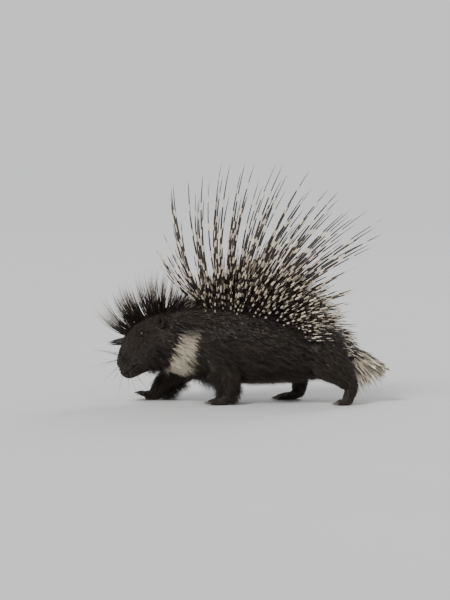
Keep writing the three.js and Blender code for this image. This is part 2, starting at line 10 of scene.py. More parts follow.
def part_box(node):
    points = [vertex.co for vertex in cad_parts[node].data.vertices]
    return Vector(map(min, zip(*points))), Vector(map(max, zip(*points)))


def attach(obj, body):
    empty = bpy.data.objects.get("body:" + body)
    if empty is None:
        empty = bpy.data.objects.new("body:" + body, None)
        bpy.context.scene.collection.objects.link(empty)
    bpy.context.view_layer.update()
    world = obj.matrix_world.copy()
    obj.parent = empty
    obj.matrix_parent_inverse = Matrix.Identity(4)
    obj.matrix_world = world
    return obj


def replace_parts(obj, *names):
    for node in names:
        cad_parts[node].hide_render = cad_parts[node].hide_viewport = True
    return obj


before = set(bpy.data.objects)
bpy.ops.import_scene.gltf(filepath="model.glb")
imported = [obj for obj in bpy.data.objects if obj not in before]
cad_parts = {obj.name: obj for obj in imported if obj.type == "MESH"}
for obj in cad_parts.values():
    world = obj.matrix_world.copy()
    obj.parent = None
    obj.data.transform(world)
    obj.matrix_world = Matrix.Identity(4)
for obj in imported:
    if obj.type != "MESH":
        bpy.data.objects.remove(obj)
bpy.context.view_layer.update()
scene = bpy.context.scene

# Top and bottom of the flesh in side view, and half its width, from nose to tail.
bodyTable = [
    ("noseTip", -352, 143, -346, 106, 17),
    ("muzzle", -341, 173, -327, 85, 34),
    ("mouth", -329, 204, -302, 80, 41),
    ("brow", -310, 231, -274, 89, 47),
    ("cheeks", -285, 252, -250, 99, 54),
    ("ears", -257, 267, -230, 105, 59),
    ("nape", -226, 281, -210, 103, 65),
    ("neck", -180, 294, -178, 95, 78),
    ("withers", -125, 307, -135, 84, 95),
    ("shoulders", -65, 321, -78, 77, 108),
    ("ribs", 0, 333, -8, 73, 118),
    ("back", 65, 338, 65, 70, 124),
    ("loin", 135, 327, 145, 74, 124),
    ("hips", 200, 292, 205, 80, 115),
    ("rump", 258, 248, 252, 86, 98),
    ("tailRoot", 310, 206, 300, 98, 70),
    ("tailBase", 352, 176, 342, 112, 40),
    ("tailMiddle", 394, 151, 382, 110, 26),
    ("tailTip", 430, 129, 422, 106, 12),
]
at = {row[0]: index for index, row in enumerate(bodyTable)}
lastStation = len(bodyTable) - 1
topLine = np.array([[x, half, z] for _, x, z, _, _, half in bodyTable], float)
bottomLine = np.array([[x, 0, z] for _, _, _, x, z, _ in bodyTable], float)
squareness = 0.92  # under 1 the section is a little squarer than an ellipse
pinch = 0.1  # how much narrower the section is above its middle than below
partCuts = [at["nape"] + 0.45, at["withers"] + 0.1, at["back"] + 0.2, at["tailRoot"] + 0.7]


def curveThrough(points, place):
    points = np.asarray(points, float)
    last = len(points) - 1
    place = np.clip(np.asarray(place, float), 0, last)
    before = np.minimum(np.floor(place), last - 1).astype(int)
    t = (place - before)[..., None]
    row = np.vstack([2 * points[0] - points[1], points, 2 * points[-1] - points[-2]])
    p0, p1, p2, p3 = (row[before + k] for k in range(4))
    v0, v1 = (p2 - p0) / 2, (p3 - p1) / 2
    return (2 * p1 - 2 * p2 + v0 + v1) * t**3 + (3 * p2 - 3 * p1 - 2 * v0 - v1) * t**2 + v0 * t + p1


def length(vectors):
    return np.linalg.norm(vectors, axis=-1, keepdims=True)


def unit(vectors):
    return vectors / np.maximum(length(vectors), 1e-9)


def soften(value):
    return np.sign(value) * np.abs(value) ** squareness


def bodyCentre(station):
    top = curveThrough(topLine, station) * [1, 0, 1]
    return (top + curveThrough(bottomLine, station)) / 2


# A point of the flesh: angle 0 is the top line, 90 the right side (+y), 180 the belly, -90 the left side.
def skinPoint(station, angle, grow=0.0):
    given = (np.asarray(value, float) for value in (station, angle, grow))
    station, angle, grow = np.broadcast_arrays(*given)
    top = curveThrough(topLine, station)
    bottom = curveThrough(bottomLine, station)
    half = top[..., 1] + grow
    top = top * [1, 0, 1]
    centre = (top + bottom) / 2
    up = top - centre
    up = up * (1 + grow[..., None] / length(up))
    turn = np.radians(angle)
    side = soften(np.sin(turn)) * (1 - pinch * np.cos(turn)) * half
    return centre + up * soften(np.cos(turn))[..., None] + side[..., None] * np.array([0, 1, 0])


def skinNormal(station, angle):
    station, angle, step = np.asarray(station), np.asarray(angle), 0.02
    lengthwise = skinPoint(station + step, angle) - skinPoint(station - step, angle)
    return unit(np.cross(lengthwise, skinPoint(station, angle + 1) - skinPoint(station, angle - 1)))


# A direction in side view, in degrees from +x (backwards) through 90 (up), leaning right by lean.
def heading(angle, lean=0.0):
    a, b = np.radians(angle), np.radians(lean)
    return np.stack([np.cos(a) * np.cos(b), np.sin(b) + 0 * a, np.sin(a) * np.cos(b)], axis=-1)


def along(values, share):
    if not isinstance(values, (list, tuple)):
        return values
    return float(np.interp(share * (len(values) - 1), range(len(values)), values))


def seeded(seed):
    state = seed

    def draw():
        nonlocal state
        state = (state * 1664525 + 1013904223) % 4294967296
        return state / 4294967296

    return draw


eyePlan = {"station": at["cheeks"] - 0.12, "angle": 63, "radius": 9, "depth": 4}


def eyeCentre(side):
    angle = side * eyePlan["angle"]
    return skinPoint(eyePlan["station"], angle) - skinNormal(eyePlan["station"], angle) * eyePlan["depth"]


# The part's frame lies a little off the tables' own zero, and an eye tells how far.
cadEye = np.mean(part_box("eye_left"), axis=0) * 1000
frameShift = cadEye - eyeCentre(-1)
print("frame shift, mm:", [round(float(v), 3) for v in frameShift])


def toFrame(points):
    return (np.asarray(points, float) + frameShift) / 1000


# Materials.

# Adds a node with its settings and its inputs: a socket is joined, anything else becomes the input's value.
def addNode(tree, kind, inputs=None, **settings):
    made = tree.nodes.new(kind)
    for key, value in settings.items():
        setattr(made, key, value)
    for socket, value in (inputs or {}).items():
        if isinstance(value, bpy.types.NodeSocket):
            tree.links.new(value, made.inputs[socket])
        else:
            made.inputs[socket].default_value = value
    return made


# A new material with a Principled shader, and short ways to add and join its nodes.
class Shading:
    def __init__(self, name, **values):
        self.material = bpy.data.materials.new(name)
        self.material.use_nodes = True
        self.tree = self.material.node_tree
        self.shader = self.tree.nodes["Principled BSDF"]
        for socket, value in values.items():
            self.shader.inputs[socket.replace("_", " ")].default_value = value

    def node(self, kind, inputs=None, **settings):
        return addNode(self.tree, "ShaderNode" + kind, inputs, **settings)

    def attribute(self, name, part="Vector"):
        return self.node("Attribute", attribute_name=name).outputs[part]

    def math(self, operation, a, b=0.0, c=0.0):
        return self.node("Math", {0: a, 1: b, 2: c}, operation=operation).outputs[0]

    def split(self, vector):
        return self.node("SeparateXYZ", {0: vector}).outputs

    def smooth(self, value, low, high, start=0.0, end=1.0):
        inputs = {"Value": value, "From Min": low, "From Max": high, "To Min": start, "To Max": end}
        return self.node("MapRange", inputs, interpolation_type="SMOOTHSTEP").outputs[0]

    def mix(self, factor, *colours):
        a, b = (value if isinstance(value, bpy.types.NodeSocket) else (*value, 1) for value in colours)
        return self.node("Mix", {0: factor, 6: a, 7: b}, data_type="RGBA").outputs[2]

    def noise(self, vector, scale, detail=3.0, roughness=0.55):
        inputs = {"Vector": vector, "Scale": scale, "Detail": detail, "Roughness": roughness}
        return self.node("TexNoise", inputs).outputs["Fac"]

    def uneven(self, vector, scale, low, high):
        return self.smooth(self.noise(vector, scale), 0.3, 0.7, low, high)

    def cracks(self, vector, scale):
        inputs = {"Vector": vector, "Scale": scale}
        return self.node("TexVoronoi", inputs, feature="DISTANCE_TO_EDGE").outputs["Distance"]

    def objectPlace(self, stretch=(1, 1, 1), centre=(0, 0, 0)):
        place = self.node("TexCoord").outputs["Object"]
        shifted = self.node("VectorMath", {0: place, 1: centre}, operation="SUBTRACT").outputs[0]
        return self.node("VectorMath", {0: shifted, 1: stretch}, operation="MULTIPLY").outputs[0]

    def bump(self, height, distance, strength=1.0, under=None):
        inputs = {"Height": height, "Distance": distance, "Strength": strength}
        return self.node("Bump", inputs if under is None else {**inputs, "Normal": under}).outputs[0]

    def wear(self, **sockets):
        for socket, value in sockets.items():
            self.tree.links.new(value, self.shader.inputs[socket.replace("_", " ")])
        return self.material


darkBrown = (0.0065, 0.0042, 0.0032)
warmBrown = (0.032, 0.020, 0.0135)
umber = (0.034, 0.019, 0.011)
rustBrown = (0.016, 0.0105, 0.0075)
cream = (0.66, 0.57, 0.42)
ivory = (0.80, 0.73, 0.59)


quillLook = {
    "slender": (3.6, 4.2),  # with more bands than this a quill is slender, with fewer it is stout
    "paleBand": (0.06, 0.34),  # where the wave along a quill turns from dark to pale
    "darkEnd": (0.84, 0.9),  # a slender quill is dark beyond this share of its length
    "paleTip": (0.93, 0.98),  # a stout quill is pale beyond this
    "grooves": 9.0,
}


# Quills are banded along their length: strand.x is a random tone, y how pale, z the number of bands.
def quillMaterial():
    m = Shading("bandedQuill", Roughness=0.36, IOR=1.5, Coat_Weight=0.25, Coat_Roughness=0.25)
    x, y, share = m.split(m.attribute("unit"))[:3]
    tone, pale, bands = m.split(m.attribute("strand"))[:3]
    place = m.objectPlace()
    wander = m.noise(place, 60.0, 2.0)
    start = m.math("MULTIPLY_ADD", tone, 0.7, m.math("MULTIPLY_ADD", wander, 0.12, 0.08))
    phase = m.math("MULTIPLY_ADD", share, bands, start)
    wave = m.math("COSINE", m.math("MULTIPLY", phase, 2 * math.pi))
    slender = m.smooth(bands, *quillLook["slender"])
    light = m.smooth(m.math("MULTIPLY_ADD", slender, -0.5, wave), *quillLook["paleBand"])
    darkEnd = m.smooth(m.math("MULTIPLY", share, slender), *quillLook["darkEnd"], 1.0, 0.0)
    light = m.math("MULTIPLY", light, darkEnd)
    tip = m.math("MULTIPLY", m.smooth(share, *quillLook["paleTip"]), m.smooth(slender, 0.0, 1.0, 0.75, 0.0))
    light = m.math("MAXIMUM", light, tip)
    light = m.math("MAXIMUM", light, pale)
    dark = m.mix(tone, darkBrown, umber)
    bone = m.mix(m.noise(place, 140.0), cream, ivory)
    colour = m.mix(light, dark, bone)
    grain = m.noise(m.attribute("unit"), 40.0, 1.0)
    grooves = m.math("SINE", m.math("MULTIPLY", m.math("ARCTAN2", y, x), quillLook["grooves"]))
    height = m.math("MULTIPLY_ADD", grooves, 0.5, grain)
    rough = m.smooth(grain, 0.3, 0.7, 0.28, 0.46)
    return m.wear(Base_Color=colour, Roughness=rough, Normal=m.bump(height, 0.0002, 0.5))


# Bristles: dark, glossy, and white where the coat is marked white. Those whose random tone is within tones
# have a tip of another colour, over the share of their length that tip gives.
def bristleMaterial(name, tipColour, tip, tones):
    m = Shading(name, IOR=1.5, Specular_IOR_Level=0.46)
    share = m.split(m.attribute("unit"))[2]
    tone, pale, _ = m.split(m.attribute("strand"))[:3]
    place = m.objectPlace()
    dark = m.mix(tone, darkBrown, warmBrown)
    dark = m.mix(m.smooth(m.noise(place, 25.0), 0.35, 0.7), dark, rustBrown)
    reach = m.math("MULTIPLY", m.smooth(share, *tip), m.smooth(tone, *tones))
    body = m.mix(reach, dark, tipColour)
    colour = m.mix(pale, body, m.mix(share, cream, ivory))
    rough = m.uneven(place, 300.0, 0.27, 0.44)
    ridge = m.math("SINE", m.math("MULTIPLY", m.split(m.attribute("unit"))[0], 12.0))
    return m.wear(Base_Color=colour, Roughness=rough, Normal=m.bump(ridge, 0.0001, 0.4))


hideLook = {
    "underCoat": ((0.007, 0.0048, 0.0038), (0.018, 0.012, 0.009)),
    "underWhite": (0.42, 0.37, 0.30),
    "leather": ((0.011, 0.008, 0.007), (0.026, 0.018, 0.0155)),
    "warmLeather": (0.060, 0.038, 0.032),
    "cells": 520.0,
    "folds": 160.0,
}


# Skin: dark under the coat, white where the coat is, bare and leathery on nose, ears and feet.
def hideMaterial():
    m = Shading("darkHide", Roughness=0.6, IOR=1.45, Specular_IOR_Level=0.35)
    place = m.objectPlace()
    bare, pale, warm = m.split(m.attribute("marks"))[:3]
    under = m.mix(m.noise(place, 40.0), *hideLook["underCoat"])
    under = m.mix(pale, under, hideLook["underWhite"])
    leather = m.mix(m.noise(place, 90.0), *hideLook["leather"])
    leather = m.mix(warm, leather, hideLook["warmLeather"])
    colour = m.mix(bare, under, leather)
    cells = m.smooth(m.cracks(place, hideLook["cells"]), 0.0, 0.35)
    folds = m.smooth(m.cracks(place, hideLook["folds"]), 0.0, 0.25)
    fine = m.noise(place, 900.0, 4.0)
    height = m.math("MULTIPLY_ADD", cells, 0.5, m.math("MULTIPLY", folds, 0.6))
    first = m.bump(height, 0.0011, 0.8)
    rough = m.uneven(place, 70.0, 0.48, 0.72)
    return m.wear(Base_Color=colour, Roughness=rough, Normal=m.bump(fine, 0.0004, 0.5, first))


def clawMaterial():
    m = Shading("darkHorn", Roughness=0.35, IOR=1.52, Coat_Weight=0.2, Coat_Roughness=0.3)
    share = m.split(m.attribute("unit"))[2]
    streaks = m.noise(m.objectPlace((120, 900, 900)), 1.0)
    base = m.mix(m.smooth(streaks, 0.3, 0.7), (0.035, 0.025, 0.019), (0.11, 0.080, 0.058))
    colour = m.mix(m.smooth(share, 0.55, 1.0), base, (0.26, 0.21, 0.16))
    rough = m.uneven(m.objectPlace(), 200.0, 0.26, 0.5)
    return m.wear(Base_Color=colour, Roughness=rough, Normal=m.bump(streaks, 0.0003, 0.5))


def eyeMaterial(name, centre):
    m = Shading(name, Roughness=0.06, IOR=1.38, Coat_Weight=0.1, Coat_Roughness=0.02)
    place = m.objectPlace(centre=tuple(centre))
    spread = m.node("VectorMath", {0: place}, operation="NORMALIZE").outputs[0]
    streak = m.noise(spread, 14.0, 6.0, 0.7)
    colour = m.mix(m.smooth(streak, 0.35, 0.7), (0.004, 0.0025, 0.002), (0.016, 0.008, 0.005))
    return m.wear(Base_Color=colour, Normal=m.bump(m.noise(spread, 60.0), 0.00005, 0.1))


# The floor is matt near the object, and far away it takes the tone of the background, so that no edge shows.
def floorMaterial():
    m = Shading("paleFloor", Roughness=0.8, Specular_IOR_Level=0.2)
    place = m.objectPlace()
    colour = m.mix(m.noise(place, 1.5, 4.0), (0.505, 0.50, 0.495), (0.535, 0.53, 0.525))
    rough = m.uneven(place, 18.0, 0.7, 0.9)
    m.wear(Base_Color=colour, Roughness=rough, Normal=m.bump(m.noise(place, 240.0), 0.0005, 0.2))
    away = m.node("VectorMath", {0: place}, operation="LENGTH").outputs["Value"]
    sky = {"Color": (*stagePlan["sky"], 1), "Strength": stagePlan["skyStrength"]}
    glow = m.node("Emission", sky).outputs[0]
    fade = m.smooth(away, *stagePlan["fade"])
    both = m.node("MixShader", {0: fade, 1: m.shader.outputs[0], 2: glow}).outputs[0]
    m.tree.links.new(both, m.tree.nodes["Material Output"].inputs["Surface"])
    return m.material


hide = hideMaterial()
banded = quillMaterial()
coarse = bristleMaterial("coarseBristle", (0.10, 0.070, 0.048), tip=(0.5, 1.0), tones=(0.55, 1.1))
crestHair = bristleMaterial("crestBristle", (0.44, 0.36, 0.26), tip=(0.52, 0.76), tones=(0.5, 0.85))
whiskerHair = bristleMaterial("whisker", (0.012, 0.009, 0.008), tip=(0.5, 1.0), tones=(0.0, 1.0))
horn = clawMaterial()
print("materials made")

# Strands: every quill, bristle, whisker and claw is one.

strandVectors = ("root", "aim", "bend", "across", "over", "place", "patch", "strand")
# The bake map: the body's unwrap to the left, a column for each leg to its right. All are shares of the map.
bakePlan = {"margin": 0.02, "high": 0.96, "bodyWide": 0.74, "legsFrom": 0.78, "legStep": 0.05,
            "legWide": 0.04, "patch": 0.003, "cellMargin": 0.08}


# A tapered rod for each point of the mesh that goes in: it leaves "root" along "aim", drawn over by "bend".
def strandTree():
    tree = bpy.data.node_groups.new("taperedStrands", "GeometryNodeTree")
    for name, kind in (("Points", "Geometry"), ("Sides", "Int"), ("Rings", "Int"), ("Root Width", "Float"),
                       ("Widest At", "Float"), ("Taper", "Float"), ("Material", "Material")):
        tree.interface.new_socket(name, in_out="INPUT", socket_type="NodeSocket" + kind)
    tree.interface.new_socket("Strands", in_out="OUTPUT", socket_type="NodeSocketGeometry")
    given = tree.nodes.new("NodeGroupInput").outputs

    def node(kind, inputs=None, **settings):
        return addNode(tree, "GeometryNode" + kind, inputs, **settings).outputs[0]

    def vector(operation, a, b=(0, 0, 0)):
        return addNode(tree, "ShaderNodeVectorMath", {0: a, 1: b}, operation=operation).outputs[0]

    def scaled(a, scale):
        return addNode(tree, "ShaderNodeVectorMath", {0: a, "Scale": scale}, operation="SCALE").outputs[0]

    def number(operation, a, b=0.0, c=0.0, **settings):
        return addNode(tree, "ShaderNodeMath", {0: a, 1: b, 2: c}, operation=operation, **settings).outputs[0]

    def stored(name):
        return node("InputNamedAttribute", {"Name": name}, data_type="FLOAT_VECTOR")

    # A plain rod of unit size, which remembers where on it each of its points is.
    rod = node("MeshCone", {"Vertices": given["Sides"], "Side Segments": given["Rings"], "Radius Top": 0.0,
                            "Radius Bottom": 1.0, "Depth": 1.0}, fill_type="NGON")
    around = vector("NORMALIZE", vector("MULTIPLY", node("InputPosition"), (1, 1, 0)))
    height = vector("MULTIPLY", node("InputPosition"), (0, 0, 1))
    onRod = vector("ADD", around, height)
    rod = node("StoreNamedAttribute", {"Geometry": rod, "Name": "unit", "Value": onRod},
               data_type="FLOAT_VECTOR", domain="POINT")
    strand = node("RealizeInstances", {"Geometry": node("InstanceOnPoints", {"Points": given["Points"],
                                                                             "Instance": rod})})

    # Its width rises from the root to the widest place, then tapers to a point.
    turn = addNode(tree, "ShaderNodeSeparateXYZ", {0: stored("unit")}).outputs
    share = turn[2]
    rise = number("MULTIPLY_ADD", number("DIVIDE", share, given["Widest At"], use_clamp=True),
                  number("SUBTRACT", 1.0, given["Root Width"]), given["Root Width"])
    fall = number("DIVIDE", number("SUBTRACT", 1.0, share), number("SUBTRACT", 1.0, given["Widest At"]),
                  use_clamp=True)
    swell = number("MINIMUM", rise, number("POWER", fall, given["Taper"]))
    curve = scaled(stored("bend"), number("MULTIPLY", share, share))
    lengthwise = vector("ADD", scaled(stored("aim"), share), curve)
    sideways = vector("ADD", scaled(stored("across"), turn[0]), scaled(stored("over"), turn[1]))
    place = vector("ADD", vector("ADD", stored("root"), lengthwise), scaled(sideways, swell))
    strand = node("SetPosition", {"Geometry": strand, "Position": place})

    # Each strand has a patch of its own on the bake map.
    halfTurn = number("MULTIPLY_ADD", turn[0], 0.5, 0.5)
    spot = addNode(tree, "ShaderNodeCombineXYZ", {0: halfTurn, 1: share}).outputs[0]
    onMap = vector("ADD", stored("place"), vector("MULTIPLY", stored("patch"), spot))
    strand = node("StoreNamedAttribute", {"Geometry": strand, "Name": "OFBake", "Value": onMap},
                  data_type="FLOAT2", domain="CORNER")
    strand = node("SetShadeSmooth", {"Geometry": strand, "Shade Smooth": True})
    strand = node("SetMaterial", {"Geometry": strand, "Material": given["Material"]})
    tree.links.new(strand, tree.nodes.new("NodeGroupOutput").inputs[0])
    return tree


strands = strandTree()
strandInputs = {item.name: item.identifier for item in strands.interface.items_tree if item.in_out == "INPUT"}


def flat(values):
    return values.astype(np.float32).ravel()


def storeVectors(mesh, name, values):
    field = mesh.attributes.new(name, "FLOAT_VECTOR", "POINT")
    field.data.foreach_set("vector", flat(values))


def dress(mesh, material):
    mesh.materials.clear()
    mesh.materials.append(material)
    mesh.polygons.foreach_set("use_smooth", [True] * len(mesh.polygons))


def addPiece(name, mesh):
    piece = bpy.data.objects.new(name, mesh)
    scene.collection.objects.link(piece)
    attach(piece, "root")
    return piece


floorGap = 1.5
longestFall = 2.2  # how many times its height over the floor a strand may aim to fall


# Strands that would reach through the floor are shortened, and curve up to lie just above it.
def aboveFloor(plans):
    start = np.maximum(plans["root"][:, 2], 2 * floorGap)
    fall = -plans["aim"][:, 2] * plans["length"]
    reach = plans["length"] * np.clip(longestFall * start / np.maximum(fall, 1e-6), 0.0, 1.0)
    bend = plans["bend"].copy()
    bend[:, 2] += np.maximum(floorGap - (start + plans["aim"][:, 2] * reach + bend[:, 2]), 0)
    return {**plans, "length": reach, "bend": bend}


# plans holds one row per strand: root, aim, length, bend, wide, thick, place, patch, tone, pale, bands.
def growStrands(name, plans, slotName, material, sides=3, rings=4, rootWidth=0.75, widestAt=0.35, taper=1.0):
    count = len(plans["root"])
    plans = aboveFloor(plans)
    across = np.cross(plans["bend"], plans["aim"])
    across = unit(np.where(length(across) > 1e-6, across, np.cross([0.0, 1.0, 0.01], plans["aim"])))
    over = np.cross(across, plans["aim"])
    values = {
        "root": toFrame(plans["root"]),
        "aim": plans["aim"] * plans["length"][:, None] / 1000,
        "bend": plans["bend"] / 1000,
        "across": across * plans["wide"][:, None] / 1000,
        "over": over * plans["thick"][:, None] / 1000,
        "place": np.c_[plans["place"], np.zeros(count)],
        "patch": np.c_[plans["patch"], np.zeros(count)],
        "strand": np.c_[plans["tone"], plans["pale"], plans["bands"]],
    }
    points = bpy.data.meshes.new(name + "Roots")
    points.vertices.add(count)
    points.vertices.foreach_set("co", flat(values["root"]))
    for key in strandVectors:
        storeVectors(points, key, values[key])
    holder = bpy.data.objects.new(name + "Roots", points)
    scene.collection.objects.link(holder)
    growing = holder.modifiers.new("strands", "NODES")
    growing.node_group = strands
    settings = {"Sides": sides, "Rings": rings, "Root Width": rootWidth, "Widest At": widestAt,
                "Taper": taper, "Material": material}
    for key, value in settings.items():
        growing[strandInputs[key]] = value
    evaluated = holder.evaluated_get(bpy.context.evaluated_depsgraph_get())
    mesh = bpy.data.meshes.new_from_object(evaluated)
    holder.modifiers.clear()
    bpy.data.objects.remove(holder)
    bpy.data.meshes.remove(points)
    for key in strandVectors:
        if key != "strand" and key in mesh.attributes:
            mesh.attributes.remove(mesh.attributes[key])
    mesh.name = name
    print("  " + name, count, "strands,", sum(len(p.vertices) - 2 for p in mesh.polygons), "triangles")
    return addPiece(name, mesh)


def joinPlans(*several):
    return {key: np.concatenate([plans[key] for plans in several]) for key in several[0]}


plainStrand = {"patch": (bakePlan["patch"],) * 2, "tone": 0.5, "pale": 0.0, "bands": 1.0}


# Turns a list of strands, a dictionary each, into one dictionary of arrays.
def plansOf(rows):
    rows = [{**plainStrand, **row} for row in rows]
    return {key: np.array([row[key] for row in rows], float) for key in rows[0]}


# Quills and crest, set on the flesh in staggered rows.

rootDepth = 11  # how far a quill is sunk into the flesh
flatDepth = 5  # the same for a lock that lies flat
flatRise = 0.42  # how steeply a flat lock leaves the skin
cutRoom = 0.14  # how far the large quills keep off the cuts between the nodes, in stations


def offTheCuts(station):
    for cut in partCuts:
        if abs(station - cut) < cutRoom:
            return cut + math.copysign(cutRoom, station - cut)
    return station


# What a patch of strands has unless it says otherwise. A list in a patch runs from its first row to its last.
# stations are the rows' places, spread is how far they reach down each side in degrees, pitch and lean say
# where the strands point, droop is added to pitch at the sides, unruly and loose are the disorder.
patchFinish = {"middle": 0, "droop": 0, "sideShorter": 0.2, "lengthSpread": 0.2, "unruly": 8, "loose": 0.1,
               "thick": 0.5, "darker": 1.0, "pale": 0.0, "bands": 3, "overCuts": False, "flat": False}


def fieldOf(patch):
    patch = {**patchFinish, **patch}
    draw = seeded(patch["seed"])
    tones = np.random.RandomState(patch["seed"])

    def jitter():
        return draw() - 0.5

    rows = []
    for row in range(patch["rows"]):
        share = row / (patch["rows"] - 1) if patch["rows"] > 1 else 0
        count = int(math.floor(along(patch["across"], share) + 0.5))
        for place in range(count):
            stagger = (0.25 if row % 2 else -0.25) + 0.4 * jitter()
            aside = min(max(2 * (place + 0.5 + stagger) / count - 1, -1), 1)
            station = along(patch["stations"], share) + patch["loose"] * jitter()
            if not patch["overCuts"]:
                station = offTheCuts(station)
            angle = patch["middle"] + aside * along(patch["spread"], share)
            normal = skinNormal(station, angle)
            lean = along(patch["lean"], share) * aside + 4 * jitter()
            droop = along(patch["droop"], share) * abs(aside)
            pitch = along(patch["pitch"], share) + droop + patch["unruly"] * jitter()
            short = 1 - patch["sideShorter"] * abs(aside)
            reach = along(patch["length"], share) * short * (1 - patch["lengthSpread"] * draw())
            curl = along(patch["curl"], share) * reach
            aim, bend, depth = heading(pitch, lean), heading(pitch - 90, lean) * curl, rootDepth
            if patch["flat"]:
                aim = unit(unit(aim - normal * np.dot(normal, aim)) + normal * flatRise)
                bend, depth = -normal * curl, flatDepth
            rows.append({
                "root": skinPoint(station, angle) - normal * depth, "aim": aim, "length": reach + depth,
                "bend": bend, "wide": patch.get("wide", patch["thick"]), "thick": patch["thick"],
                "place": (station, angle),
                "tone": tones.rand() * patch["darker"], "pale": patch["pale"] * tones.rand(),
                "bands": along(patch["bands"], share) * (0.88 + 0.24 * tones.rand()),
            })
    return plansOf(rows)


# The same patch again, with rows times as many rows and across times as many strands in each.
def denser(patch, seed, rows, across, **changes):
    counts = patch["across"]
    counts = [count * across for count in counts] if isinstance(counts, list) else counts * across
    more = {"seed": seed, "rows": round(patch["rows"] * rows), "across": counts, "overCuts": True}
    return fieldOf({**patch, **more, **changes})


# The bake map of a few hundred banded quills: a cell for each, in the order of their roots on the body.
def giveCells(plans):
    count = len(plans["root"])
    columns = math.ceil(math.sqrt(count))
    order = np.argsort(plans["place"][:, 0], kind="stable")
    cell, margin = 1 / columns, bakePlan["cellMargin"]
    place = np.zeros((count, 2))
    for row in range(columns):
        inRow = order[row * columns:(row + 1) * columns]
        inRow = inRow[np.argsort(plans["place"][inRow, 1], kind="stable")]
        up = np.full(len(inRow), (row + margin) * cell)
        place[inRow] = np.c_[(np.arange(len(inRow)) + margin) * cell, up]
    return {**plans, "place": place, "patch": np.full((count, 2), cell * (1 - 2 * margin))}


# Strands without cells: a small patch at the root's place on the body's own unwrap.
def unwrapPlace(station, angle):
    across = bakePlan["margin"] + bakePlan["bodyWide"] * np.asarray(station) / lastStation
    return np.c_[across, bakePlan["margin"] + bakePlan["high"] * (np.asarray(angle) + 180) / 360]


def giveUnwrap(plans):
    station, angle = plans["place"].T
    return {**plans, "place": unwrapPlace(station, (angle + 180) % 360 - 180)}


# The long, slender quills that stand up in a fan, and the few at the front that bend over the neck.
longQuills = {
    "seed": 11, "stations": [at["withers"] + 0.5, at["loin"] + 0.1], "rows": 9, "across": [4, 6, 5],
    "spread": [26, 34, 34], "pitch": [120, 44], "lean": [24, 34, 34], "length": [385, 430, 395],
    "curl": [0.24, 0.16, 0.13], "sideShorter": 0.18, "lengthSpread": 0.18, "unruly": 8, "loose": 0.14,
    "thick": 3.3, "bands": [4.4, 5.2, 4.6],
}
foreQuills = {
    "seed": 17, "stations": [at["withers"] + 0.4, at["withers"] + 0.65], "rows": 2, "across": [3, 3],
    "spread": [24, 28], "pitch": [150, 138], "lean": [22, 26], "length": [215, 230], "curl": [0.34, 0.3],
    "sideShorter": 0.1, "lengthSpread": 0.12, "unruly": 5, "loose": 0.1, "thick": 2.6, "bands": 3.2,
}
# The stout, shorter quills among and behind them, down the flanks and over the rump.
stoutQuills = {
    "seed": 23, "stations": [at["withers"] + 0.7, at["hips"] + 0.1], "rows": 8, "across": [5, 8, 7],
    "spread": [44, 60, 66], "pitch": [112, 66, 22], "lean": [40, 52, 46], "length": [160, 245, 215],
    "curl": [0.16, 0.08], "sideShorter": 0.3, "lengthSpread": 0.25, "unruly": 9, "loose": 0.16,
    "thick": 3.0, "bands": [2.6, 3.2, 2.8],
}
rumpQuills = {
    "seed": 29, "stations": [at["hips"] - 0.2, at["tailRoot"] + 0.45], "rows": 7, "across": [9, 9, 7],
    "spread": [84, 78, 72], "pitch": [14, -2, -28], "lean": [34, 22, 12], "droop": [-14, -8],
    "length": [130, 105, 72], "curl": [-0.04, 0.02], "sideShorter": 0.2, "lengthSpread": 0.3, "unruly": 12,
    "loose": 0.16, "thick": 2.2, "bands": [2.0, 1.5],
}
tailQuills = {
    "seed": 43, "stations": [at["tailBase"] + 0.05, at["tailTip"] - 0.3], "rows": 4, "middle": 180,
    "across": [8, 7, 6], "spread": [150, 160, 160], "pitch": [-52, -46, -34], "droop": [24, 14],
    "lean": [-14, -10], "length": [84, 76, 48], "curl": 0.03, "sideShorter": 0.2, "lengthSpread": 0.25,
    "unruly": 12, "loose": 0.16, "thick": 2.0, "pale": 1.0, "bands": 1.2,
}

# Each piece has the quills of the solids and, among them, more and finer ones.
growStrands("fanQuills", giveCells(joinPlans(
    fieldOf(longQuills), fieldOf(foreQuills),
    denser(longQuills, seed=111, rows=1.1, across=0.9, lengthSpread=0.4, thick=2.5),
    denser(foreQuills, seed=117, rows=1.5, across=1.0, lengthSpread=0.3, thick=2.2),
)), "quills", banded, sides=8, rings=18, rootWidth=0.7, widestAt=0.32, taper=0.5)
growStrands("stoutQuills", giveCells(joinPlans(
    fieldOf(stoutQuills),
    denser(stoutQuills, seed=123, rows=2.4, across=2.3, length=[145, 210, 165], spread=[48, 68, 78],
           sideShorter=0.55, lengthSpread=0.5, unruly=15, loose=0.4),
)), "quills", banded, sides=7, rings=11, rootWidth=0.6, widestAt=0.35, taper=0.55)
growStrands("rumpQuills", giveCells(joinPlans(
    fieldOf(rumpQuills),
    denser(rumpQuills, seed=129, rows=2.2, across=2.6, sideShorter=0.45, lengthSpread=0.45, unruly=16,
           loose=0.7),
)), "quills", banded, sides=6, rings=8, rootWidth=0.6, widestAt=0.3, taper=0.7)
growStrands("tailQuills", giveCells(joinPlans(
    fieldOf(tailQuills),
    denser(tailQuills, seed=143, rows=2.5, across=2.5, lengthSpread=0.5, unruly=16),
    denser(tailQuills, seed=147, rows=2.0, across=1.5, lengthSpread=0.3, pitch=[-72, -62, -46], spread=70,
           length=[114, 98, 60]),
    denser(tailQuills, seed=151, rows=2.2, across=1.6, middle=0, spread=[50, 70], pitch=[-18, -26, -34],
           lean=[10, 16], droop=-6, lengthSpread=0.45, length=[78, 64, 44]),
)), "quills", banded, sides=6, rings=6, rootWidth=0.6, widestAt=0.35, taper=0.7)

